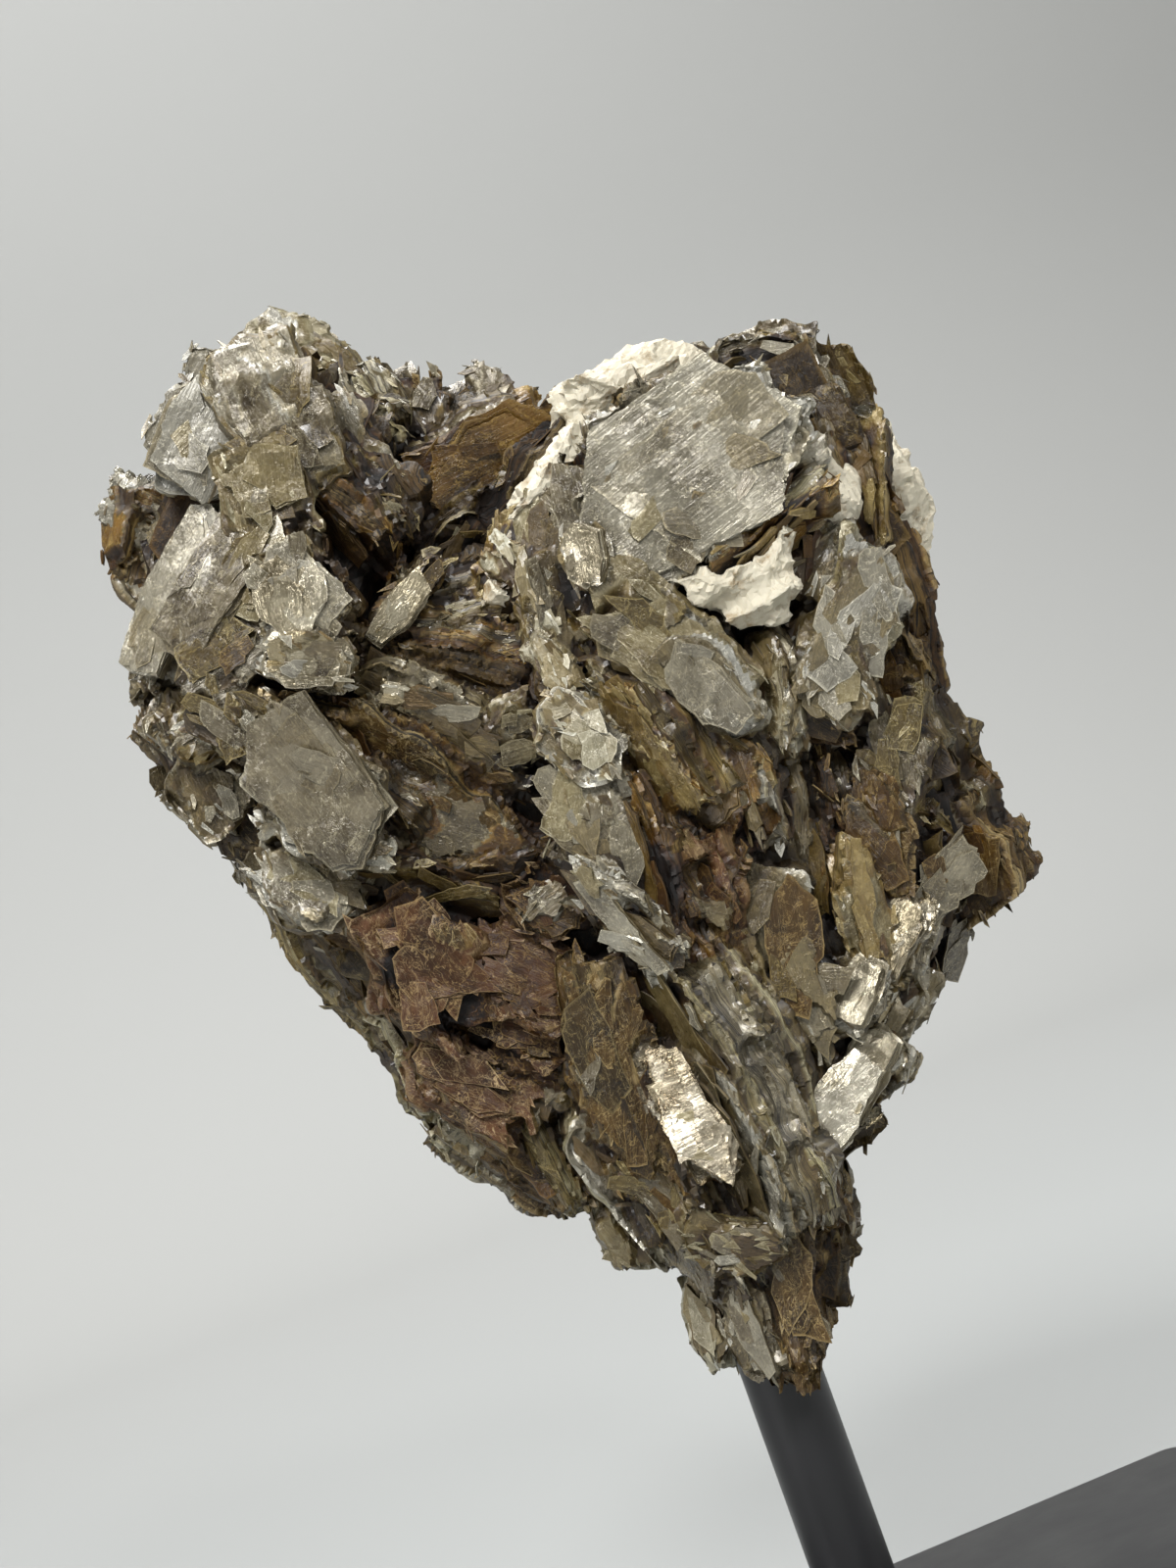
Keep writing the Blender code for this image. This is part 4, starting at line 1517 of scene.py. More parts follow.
LEFT_LOBE = [
    Book("crest", -30.5, 44, 4, 10, 6.5, 7, -12, -12, F.SAGE),
    Book("crest_left", -35.2, 40.4, 2, 7, 5.6, 8, 60, -15, F.OLIVE),
    Book("crest_back", -26.5, 40, 8, 14, 7, 8, -30, -10, F.OLIVE),
    Book("crest_teeth", -25, 42, 2, 8, 4, 3, -38, 10, F.SAGE),
    Book("round_sheet", -37.8, 34.8, -9, 13, 10, 7, 66, 3, F.PEARL, split=0.3, bend=0.8, cover=True),
    Book("upper_face", -31.5, 36.5, -11, 17, 10, 10, -62, -8, F.SLATE, split=0.8),
    Book("upper_face_low", -32.5, 29, -13, 10, 9, 9, -70, -4, F.SAGE),
    Book("silver_blade", -23.5, 34.5, -9, 13, 5.5, 4, -60, 12, F.PEARL, split=0.4),
    Book("white_chip", -27, 35.8, -13.5, 4, 2.2, 1, -55, 0, F.CREAM, split=0),
    Book("curl", -46.6, 25.3, -2, 9, 5, 5, 80, -52, F.AMBER, bend=1),
    Book("curl_comb", -44, 28, -3, 5, 4, 3, -25, 70, F.BROWN),
    Book("curl_inside", -43, 24, -4, 8, 5, 3, 70, 35, F.PEARL),
    Book("curl_lip", -45.8, 21.2, -1, 6, 4.5, 4, -55, -25, F.PEARL),
    Book("clear_flake", -47.4, 29.2, -3, 5.5, 4.5, 0.5, 60, -10, F.CLEAR, split=0),
    Book("long_plate_outer", -41.2, 16.5, -4, 15, 7, 8, 70, -42, F.SLATE, bend=0.6),
    Book("long_plate_middle", -40, 18.5, -9, 18, 7, 7, 64, -26, F.SILVER, split=0.4, bend=0.8, cover=True),
    Book("long_plate_inner", -36.5, 19.5, -12, 17, 7, 8, 60, -16, F.SLATE, split=0.5, bend=0.8, cover=True),
    Book("oval_face", -41.8, 15, -8.5, 6, 4, 2.5, 70, -30, F.PEARL, split=0, cover=True),
    Book("olive_sheet", -36.5, 12.5, -13, 10, 8, 9, 40, -10, F.OLIVE, split=0.6),
    Book("crinkled_heart", -28.8, 19.5, -15, 13, 8.5, 10, -65, 6, F.FOIL, split=1.6),
    Book("crinkled_low", -28, 13, -16.5, 9, 6, 8, -12, 10, F.FOIL, split=1.6),
    Book("bright_chip", -30.7, 26.5, -15.5, 4.5, 3, 3, 80, -5, F.CREAM, split=0),
    Book("heart_left", -33.5, 21, -13.5, 12, 6, 8, 65, -10, F.SAGE),
    Book("low_knob", -40.5, 4, -5, 13, 9, 12, -76, -22, F.SLATE),
    Book("low_flat", -38, -0.5, -7, 9, 7, 9, -60, -8, F.SILVER),
    Book("low_scale", -38.5, 5.5, -12, 7, 6, 3, 30, -12, F.SLATE, split=0.5),
    Book("low_ledge", -34.5, 6.5, -13, 15, 7, 9, -34, 8, F.OLIVE),
    Book("crinkle_ledge", -34, 8.5, -15, 9, 4, 4, -30, 25, F.FOIL),
    Book("pearl_sheet", -27, 0.5, -15.5, 17, 11, 8, -52, 12, F.SLATE, split=0.4, cover=True),
    Book("pearl_light", -26, -5.5, -16.5, 12, 5, 5, -18, -4, F.SILVER, split=0.5),
    Book("pearl_skirt", -28, -9.5, -11, 13, 8, 10, -38, -8, F.SILVER),
    Book("white_flap", -28, -11, -13, 8, 4, 3, -40, 5, F.WHITE),
]
VALLEY = [
    Book("peak_left", -18.5, 38, 4, 11, 9, 8, -72, -8, F.SLATE, split=0.4),
    Book("fan_high", -22, 36, 1, 14, 9, 6, -60, 58, F.SILVER),
    Book("fan_long", -24.5, 31.5, -6, 20, 11, 6, -50, 66, F.OLIVE),
    Book("fan_low", -25.5, 28.5, -10, 16, 9, 5, -42, 68, F.BROWN),
    Book("fan_front", -22, 30, -12, 12, 5, 3, -45, 55, F.OLIVE),
    Book("peak_right", -10.5, 38, 6, 11, 7, 8, 32, -10, F.SLATE, split=0.4),
    Book("green_ridge", -13.5, 35.5, 1, 15, 3.5, 3, 30, 35, F.SAGE),
    Book("amber_sheet", -11, 33, 0, 17, 8.5, 7, 26, 14, F.AMBER, split=0.3, cover=True),
    Book("valley_floor", -19, 24, 5, 20, 18, 10, -35, 40, F.DARK),
    Book("dark_seam", -6.5, 30, -4, 20, 9, 3.5, 55, 76, F.DARK),
    Book("slanting_strip", -13, 25.5, -3, 20, 8, 5, 45, 46, F.OLIVE),
    Book("slanting_plate", -14.5, 23.5, -7, 10, 4, 2, 48, 30, F.SAGE),
    Book("bright_blade", -19, 17.8, -14, 8, 3, 2, 58, -2, F.FOIL, split=0.5, cover=True),
    Book("blade_twin", -17, 20.5, -12.5, 6, 2.5, 2, 50, 20, F.GOLD),
    Book("gold_column", -8, 22, -10, 10, 5, 5, 66, -28, F.GOLD),
    Book("white_strap", -5, 18, -14, 14, 4, 4, -66, 14, F.WHITE),
    Book("strap_low", -3, 11.5, -15, 8, 4, 4, -60, 10, F.WHITE),
    Book("brown_tongue", -13, 12, -10, 18, 9, 6, -15, 62, F.BROWN),
    Book("brown_shelf", -15, 15, -7, 20, 10, 8, 20, 48, F.OLIVE),
    Book("shelf_dark", -17, 13.5, -9, 12, 5, 3, 10, 60, F.DARK),
    Book("lens_low", -19.5, 4, -12, 23, 10, 8, -27, 42, F.BROWN, split=0.5),
    Book("lens_high", -15.5, 7.5, -14, 18, 6, 5, -28, 28, F.SILVER),
    Book("lens_crown", -17, 9, -16, 8, 3, 2.5, -15, 10, F.FOIL),
    Book("lens_tail", -11, 3.5, -14, 10, 5, 4, -35, 45, F.SLATE),
    Book("smooth_brown", -12.5, -4, -11, 16, 9, 9, -16, 14, F.BROWN, split=0.3),
    Book("dark_ribs", -20, -1.5, -14.5, 9, 5, 3, -42, 74, F.DARK),
    Book("ribs_low", -10, 1, -13, 9, 4, 3, -20, 70, F.SLATE),
    Book("wedge", -8.5, 5.5, -14.5, 9, 6, 5, 25, 20, F.SAGE),
    Book("wedge_chip", -7.5, 8, -16, 4, 3, 1.5, 40, 10, F.WHITE, split=0),
    Book("swirl_high", -17, -8.5, -12.5, 18, 5, 6, -12, 42, F.OLIVE),
    Book("swirl_mid", -21, -10.5, -12, 13, 4.5, 5, -20, 45, F.SAGE),
    Book("swirl_right", -8, -8, -12.5, 13, 5, 5, 8, 36, F.BROWN),
]
RIGHT_LOBE = [
    Book("silver_sheet", 10.6, 31.9, -15.5, 24, 16.5, 6, 38, 0, F.SILVER, split=0.4, bend=0.7, cover=True),
    Book("silver_top", 12, 38, -11, 17, 5, 5, -2, -22, F.SLATE),
    Book("silver_left", 4.5, 34.5, -13.5, 8, 8, 6, -60, -6, F.SILVER),
    Book("hump", 17.5, 41.4, -2, 12, 7.6, 9, 8, -14, F.SLATE),
    Book("hump_face", 17.5, 43.6, -7, 8, 4, 3, 15, 0, F.SLATE, split=0.4),
    Book("hump_curl", 12.5, 41.5, -6, 11, 4, 3, 38, 48, F.SAGE),
    Book("hump_right", 22.2, 38.5, -4, 12, 6, 6, -65, 20, F.OLIVE),
    Book("pale_fan", 25, 41.5, -1, 9, 5, 1.2, -58, 8, F.OLIVE, split=0.5),
    Book("clear_fan", 27, 36.5, -2, 7, 5, 0.6, -35, 6, F.CLEAR, split=0),
    Book("dark_stripes", 25.6, 30.5, -7, 15, 6, 6, -76, 70, F.BROWN),
    Book("gold_stripe", 28.6, 31, -8, 13, 4, 3, -84, 30, F.GOLD),
    Book("spine", 0, 26, -13, 15, 7, 7, -86, 30, F.SLATE),
    Book("spine_dark", 2, 17, -13, 14, 5, 6, -88, 40, F.DARK),
    Book("spine_flash", 0.4, 23, -17.5, 6, 4, 3, -80, 26, F.FOIL, split=0.5, cover=True),
    Book("grey_cobbles", 2.5, 30, -13, 9, 6, 6, -62, 5, F.SILVER),
    Book("green_sheet", -3.5, 17, -13, 15, 7, 6, -80, -10, F.OLIVE, split=0.3),
    Book("green_sheet_high", -4.5, 24, -12, 13, 5, 5, 75, -20, F.SAGE, split=0.4),
    Book("amber_edges", 17.8, 26.0, -16, 18, 5.5, 5, 40, 52, F.GOLD),
    Book("amber_rim", 20, 25.5, -12, 13, 3.5, 3, 45, 50, F.AMBER),
    Book("amber_block", 22.3, 23.5, -12, 8, 4, 5, 82, 20, F.AMBER),
    Book("grey_slope", 8.5, 14, -15.5, 19, 10, 8, -36, 6, F.SAGE),
    Book("grey_skirt", 12.5, 10.5, -17, 12, 7, 7, -44, 12, F.SILVER),
    Book("slope_left", 4, 17.5, -14.5, 9, 6, 6, -60, -8, F.SLATE),
    Book("right_face", 26, 16, -14, 17, 9, 8, 72, 10, F.PEARL, split=0.7),
    Book("right_face_low", 25, 10.5, -15, 9, 7, 6, -70, 8, F.SILVER),
    Book("right_face_high", 24.5, 21.5, -12, 8, 7, 6, 50, 0, F.PEARL),
    Book("sparkle_patch", 23.8, 6.3, -14.5, 6, 4, 3, -30, 14, F.DARK),
    Book("right_window", 32, 3.5, -11, 13, 9, 8, -80, 18, F.OLIVE, split=0.5),
    Book("window_low", 30.5, -5.5, -11.5, 13, 7, 7, -72, 20, F.BROWN, split=0.7),
    Book("window_edge", 34.5, -4, -9, 13, 6, 6, -64, 40, F.OLIVE),
    Book("window_high", 31.5, 10, -10, 10, 6, 5, -76, 24, F.BROWN, split=0.5),
    Book("right_edge_high", 30.2, 17, -4, 18, 10, 7, -72, 66, F.BROWN, split=1.5),
    Book("right_edge_middle", 32.9, 6, -3, 23, 10, 7, -62, 62, F.OLIVE, split=1.5),
    Book("right_edge_low", 38.5, -3, -3, 13, 8, 6, -60, 64, F.BROWN),
    Book("right_belly", 39, -6.5, -4, 12, 9, 9, -62, 30, F.BROWN),
    Book("right_corner", 41.5, -8.5, -2, 7, 5, 5, 20, 10, F.ROSE),
    Book("right_hem", 35, -9, -9, 13, 8, 8, 58, 12, F.SLATE),
]
MIDDLE = [
    Book("dark_cleft", 22, 0, -8, 20, 10, 7, -84, 76, F.DARK),
    Book("cleft_rib", 20, -4, -12, 14, 5, 4, -82, 72, F.BROWN),
    Book("cleft_rib_right", 25, -3, -11, 14, 5, 4, -84, 70, F.BROWN),
    Book("white_column", 19.5, 9.5, -15, 12, 4.5, 4, -86, 48, F.WHITE),
    Book("cream_cobbles", -1, 5, -16, 9, 7, 7, -42, -4, F.WHITE),
    Book("gold_fibres", 7.5, 5, -15, 16, 9, 7, -55, 52, F.GOLD),
    Book("gold_fibres_high", 4, 8, -16, 11, 5, 4, -40, 45, F.SAGE),
    Book("straw_fan", 14, 5, -15, 12, 6, 4, -35, 48, F.GOLD),
    Book("amber_window", 14, 0.5, -13, 13, 9, 7, -80, 24, F.AMBER, split=0.3),
    Book("window_folds", 17.5, -1.5, -15, 12, 4, 4, -75, 50, F.PEARL),
    Book("silver_middle", 1, -4, -14.5, 18, 10, 8, -62, -4, F.SILVER),
    Book("silver_fold", 3, -1, -16.5, 9, 4, 3, -55, 20, F.FOIL),
    Book("folded_strap", 8, -9, -15.5, 20, 7, 6, -70, 46, F.AMBER),
    Book("strap_left", 5.5, -7, -16, 12, 4, 3, -75, 30, F.GOLD),
    Book("plum_patch", 9.5, -6, -17.5, 4, 3.5, 2, -60, 10, F.ROSE, split=0),
    Book("plum_patches", 14, -11, -14, 14, 8, 7, -84, 42, F.ROSE),
    Book("lavender_flake", 12.8, -12.5, -18, 5.5, 3, 1.5, -15, 10, F.PEARL, split=0),
    Book("olive_tongue", 3.5, -13, -19, 15, 6, 5, -42, 26, F.SILVER),
    Book("tongue_tip", 7.5, -16, -19, 7, 4, 3, -38, 20, F.SAGE),
    Book("dark_rift_high", 13.5, -15, -14, 10, 6, 5, -78, 74, F.DARK),
    Book("right_slab", 20.5, -16, -14, 19, 9, 8, -68, 8, F.SLATE, split=0.7),
    Book("slab_low", 22.5, -24, -14, 10, 6, 6, -60, 4, F.SILVER),
    Book("slab_edge", 17, -19.5, -16.5, 12, 4, 3, -70, 35, F.SAGE),
    Book("gold_blade", 28, -13, -14, 15, 4.5, 4, -78, -12, F.GOLD, split=0.5),
    Book("blade_left", 24, -9, -12, 10, 4, 4, -80, 30, F.OLIVE),
    Book("grey_scale", 35, -16, -4, 10, 5, 6, 68, 42, F.SLATE),
    Book("silver_scale_high", 31.8, -16.5, -11, 11, 5, 6, 60, -28, F.FOIL, split=0.6, cover=True),
    Book("flash_high", 28.0, -21.5, -15.5, 7, 4.4, 2.5, 60, -28, F.FOIL, split=0.5, cover=True),
    Book("silver_scale_middle", 30.8, -23, -10, 10, 5, 6, 66, -10, F.SILVER, split=0.6),
    Book("silver_scale_low", 29.4, -29.5, -12, 9, 4.8, 6, 62, -27, F.FOIL, split=0.5, cover=True),
    Book("scale_foot", 26.0, -33.2, -13.5, 10, 6, 6, 48, -20, F.FOIL, split=0.5, cover=True),
    Book("scale_tip", 25, -32, -15, 8, 5, 3, 40, 2, F.SILVER),
]
LOWER_LEFT = [
    Book("rose_sheet", -15.8, -18.3, -13, 17, 12.5, 8, -56, -8, F.ROSE, split=0.4),
    Book("rose_right", -6.5, -19.5, -12, 14, 9, 8, -20, -8, F.ROSE),
    Book("rose_low", -7, -25, -11, 12, 7, 7, -28, -6, F.ROSE),
    Book("rose_skirt", -12, -30.5, -9, 14, 8, 9, -32, -12, F.ROSE),
    Book("glitter_patch", -4.5, -12, -13, 9, 6, 7, -30, -4, F.ROSE),
    Book("glitter", -4.3, -12, -16.5, 4, 3.5, 2, 40, -6, F.FOIL, split=0),
    Book("facet_glass", -3.8, -30.5, -10, 7, 5, 5, 70, -8, F.SLATE, split=0.4),
    Book("dark_hollow", -7, -36.6, -4, 15, 7.5, 9, -42, -20, F.BROWN, split=1.5),
    Book("hem_olive", -25.8, -16.2, -1, 23, 6, 8, -53, -42, F.OLIVE),
    Book("hem_dark", -21, -21, -3, 17, 5, 6, -50, -40, F.DARK),
    Book("hem_grey", -16, -29, -2, 16, 8, 8, -62, -30, F.SAGE),
    Book("hem_white", -7.4, -37.6, -4, 19, 6, 8, -32, -30, F.WHITE),
    Book("hem_chip", 4, -46.3, -5, 8, 4, 4, -50, 10, F.SAGE),
    Book("recess_fibres", -4, -38, -7, 12, 5, 4, -60, 55, F.OLIVE),
]
LOWER_RIGHT = [
    Book("round_book", 3, -29, -15, 23, 9, 9, -72, -4, F.BROWN, split=0.5),
    Book("book_rim", -0.8, -27, -12, 20, 4, 4, -78, -55, F.SAGE),
    Book("round_book_foot", 6, -41, -15, 13, 6, 7, -62, -10, F.OLIVE),
    Book("hole", 4.5, -20.5, -13, 8, 5, 4, -30, 40, F.DARK),
    Book("white_blade", 2.8, -41, -13.5, 16, 3.2, 4, -52, -10, F.WHITE),
    Book("cream_flake", 10.2, -33.5, -20, 4.8, 14.5, 4, 29, -9, F.CREAM, split=1.1, cover=True),
    Book("fibres_high", 14, -26, -16, 24, 10, 8, -60, 58, F.SAGE),
    Book("fibres_middle", 17, -35, -17, 22, 9, 7, -64, 62, F.SILVER),
    Book("fibres_low", 12.5, -43, -14, 18, 8, 8, -66, 56, F.SLATE),
    Book("dark_rift", 20.5, -30, -14, 15, 6, 5, -62, 76, F.DARK),
    Book("grey_flank", 23.2, -41, -8, 14, 6.5, 8, -88, 14, F.SLATE),
    Book("flank_dark", 22, -44, -10, 10, 6, 5, -80, 40, F.DARK),
    Book("fuzzy_lip", 15, -46.5, -17, 9, 5, 5, -15, 12, F.SAGE),
    Book("tip_left", 12.5, -54, -7, 9, 3.5, 4, -78, 24, F.WHITE),
    Book("tip_middle", 16.8, -53, -14, 14, 4.5, 5, -68, 34, F.SILVER),
    Book("tip_hollow", 19, -50, -9, 9, 5, 5, -85, 50, F.DARK),
    Book("tip_right", 21.3, -51.5, -12.5, 17.5, 6, 8, -85, 10, F.BROWN, split=0.6),
    Book("tip_end", 20.8, -56.5, -12, 8, 4.2, 5, -84, 10, F.OLIVE),
]
BACK = [
    Book("back_left_high", -27, 31, 13, 28, 20, 12, 60, 170, F.SLATE),
    Book("back_left_low", -30, 8, 13, 30, 20, 12, -70, 190, F.OLIVE),
    Book("back_valley", -8, 27, 15, 28, 20, 12, 25, 186, F.BROWN),
    Book("back_right_high", 14, 31, 13, 27, 20, 14, -35, 172, F.SILVER),
    Book("back_right_low", 25, 8, 13, 32, 18, 12, -68, 164, F.SLATE),
    Book("back_middle", 1, 8, 15, 36, 26, 12, -20, 184, F.ROSE),
    Book("back_rose", -16, -14, 14, 32, 22, 12, -55, 192, F.PEARL),
    Book("back_belly", 16, -12, 13, 32, 22, 14, -70, 176, F.OLIVE),
    Book("back_hem", -4, -30, 8, 26, 16, 12, -40, 194, F.SAGE),
    Book("back_fan", -17, 18, 18, 22, 14, 7, -45, 122, F.AMBER),
    Book("back_rib", 5, -10, 17, 28, 14, 7, -62, 126, F.BROWN),
    Book("back_blade", 20, 18, 17, 24, 13, 7, 65, 236, F.GOLD),
    Book("back_scale", 28, -8, 19, 18, 11, 6, 40, 160, F.SILVER),
    Book("back_step", -28, -4, 19, 16, 11, 6, -20, 200, F.SLATE),
]


# --- feldspar and stand --------------------------------------------------------------------------------


@dataclass(frozen=True)
class Chip:
    """One block of feldspar that shows between the books, sized in millimetres on the elevation.

    Attributes:
        name: what it is called.
        across, up, back: the place of its middle.
        half_length, half_width, half_depth: half its size each way.
        run: the angle of its length from level, in degrees.
    """

    name: str
    across: float
    up: float
    back: float
    half_length: float
    half_width: float
    half_depth: float
    run: float

    def points(self, chance: Chance, share: float, shift: tuple[float, float, float]) -> list[Vector]:
        """Scatter the corners that one fragment of the block is the hull of.

        Args:
            chance: the random numbers.
            share: the fragment's size, as a share of the block's.
            shift: where it lies from the block's middle, as shares of half its length.

        Returns:
            The corners, on the stand.
        """
        spin = Matrix.Rotation(-radians(self.run), 3, "Y")
        half = Vector((self.half_length, self.half_depth, self.half_width)) * MM
        middle = ELEVATION.point(self.across, self.up, self.back)
        found = []
        for _ in range(11):
            way = Vector(chance.normal(0, 1, 3)).normalized()
            way = way / max(abs(way.x), abs(way.y), abs(way.z)) ** 0.8
            found.append(ELEVATION.matrix() @ (middle + spin @ (way * half * share + Vector(shift) * half.x)))
        return found


@dataclass
class Feldspar:
    """The white feldspar that the mica grew on: chalky, blocky on its cleavages, stained along its cracks.

    Attributes:
        grain: the size of the mesh's cells, in millimetres.
        block: the size of the cleavage blocks, in millimetres.
        relief: how far the blocks stand out of each other, in millimetres.
        cloud: the size of the paler and darker clouds in it, in millimetres.
        stain: the size of the iron stains, in millimetres.
        chips: the blocks that show between the books.
    """

    grain: float = 0.52
    block: float = 2.6
    relief: float = 0.8
    cloud: float = 6.0
    stain: float = 3.0
    chips: tuple[Chip, ...] = (
        Chip("crown_front", 3.6, 39.8, -8, 7.2, 3.0, 4, 14),
        Chip("crown_left", -1.6, 38.6, -6, 3.0, 2.6, 4, 60),
        Chip("strip", -3.4, 31.0, -10, 6.8, 2.0, 4, 57),
        Chip("strip_low", -9.6, 18.8, -12.5, 2.2, 1.9, 3, -10),
        Chip("notch", 15.4, 20.3, -18.0, 5.8, 3.4, 4, 26),
        Chip("notch_tail", 10.8, 20.7, -18.2, 3.6, 1.3, 3, -6),
        Chip("notch_high", 22.2, 27.6, -12.5, 2.2, 1.4, 3, 20),
        Chip("notch_strip", 19.4, 24.2, -16.6, 3.4, 1.4, 3, 54),
        Chip("notch_low", 16.6, 17.0, -16.6, 3.6, 2.3, 4, 4),
        Chip("edge", 26.6, 30.0, -3, 7.0, 1.6, 4, -72),
    )

    def material(self) -> Material:
        """Build the feldspar's material: matt, slightly see-deep, cream with brown iron stains."""
        material, tree = new_material("feldspar")
        add = partial(add_node, tree)
        coords = add("ShaderNodeTexCoord", out="Object")
        cloud = {"Vector": coords, "Scale": 1 / (self.cloud * MM), "Detail": 6, "Roughness": 0.65}
        clouds = add("ShaderNodeTexNoise", cloud)
        stain = {"Vector": coords, "Scale": 1 / (self.stain * MM), "Detail": 8, "Roughness": 0.7}
        stains = add("ShaderNodeTexNoise", stain)
        clean = {0: clouds, 6: linear("a29a84"), 7: linear("c6c0af")}
        clean = add("ShaderNodeMix", clean, out=2, data_type="RGBA")
        share = add("ShaderNodeMapRange", {0: stains, 1: 0.53, 2: 0.66, 4: 0.85})
        stained = {0: share, 6: clean, 7: linear("7a6238")}
        shader = {
            "Base Color": add("ShaderNodeMix", stained, out=2, data_type="RGBA"),
            "Roughness": 0.62,
            "Normal": add("ShaderNodeBump", {"Height": stains, "Distance": 0.3 * MM, "Strength": 0.7}),
            "Subsurface Weight": 0.12,
            "Subsurface Radius": (1, 0.8, 0.6),
            "Subsurface Scale": 1.2 * MM,
        }
        add("ShaderNodeOutputMaterial", {"Surface": add("ShaderNodeBsdfPrincipled", shader)}, out=None)
        return material

    def build(self, solid: Object) -> Object:
        """Weather the plain solid into a natural lump, with the blocks that stand out of it.

        Args:
            solid: the feldspar's plain solid.

        Returns:
            The piece.
        """
        shape = bmesh.new()
        shape.from_mesh(solid.data)
        bmesh.ops.remove_doubles(shape, verts=shape.verts, dist=1e-6)
        for chip in self.chips:
            chance = np.random.default_rng(zlib.crc32(chip.name.encode()))
            for fragment in range(6):
                share = 1.0 if fragment == 0 else chance.uniform(0.35, 0.6)
                along = (fragment - 3) / 3 * 0.8 if fragment else 0.0
                shift = (along, chance.uniform(-0.12, 0.05), chance.uniform(-0.2, 0.2))
                corners = [shape.verts.new(point) for point in chip.points(chance, share, shift)]
                hull = bmesh.ops.convex_hull(shape, input=corners)
                inside = {*hull["geom_interior"], *hull["geom_unused"]}
                bmesh.ops.delete(shape, geom=[v for v in inside if isinstance(v, bmesh.types.BMVert)])
        mesh = bpy.data.meshes.new("draft")
        shape.to_mesh(mesh)
        shape.free()
        fine = voxel_skin(mesh, self.grain, "feldspar_lump")
        points, normals = read(fine.vertices, "co", 3), read(fine.vertices, "normal", 3)
        push = np.array([self.height(Vector(p) / MM) for p in points.tolist()])
        fine.vertices.foreach_set("co", (points + normals * push[:, None] * MM).astype(np.float32).ravel())
        fine.materials.append(self.material())
        fine.update()
        LOG.info("feldspar_lump: %d polygons", len(fine.polygons))
        return link_object("feldspar_lump", fine)

    def height(self, at: Vector) -> float:
        """Give how far the surface stands out at a place, in millimetres.

        Args:
            at: the place, in millimetres.

        Returns:
            The height of its block and its grain.
        """
        turned = Vector((at.x + 0.3 * at.z, at.y * 1.3, at.z - 0.3 * at.x)) / self.block
        near = noise.voronoi(turned, distance_metric="CHEBYCHEV")[1][0]
        block = noise.cell(near * 7.31)
        tip = noise.cell_vector(near * 3.17) - Vector((0.5, 0.5, 0.5))
        out = 0.45 * block + 0.9 * (turned - near).dot(tip) - 0.5
        return self.relief * out + 0.15 * noise.noise(at * 1.9)


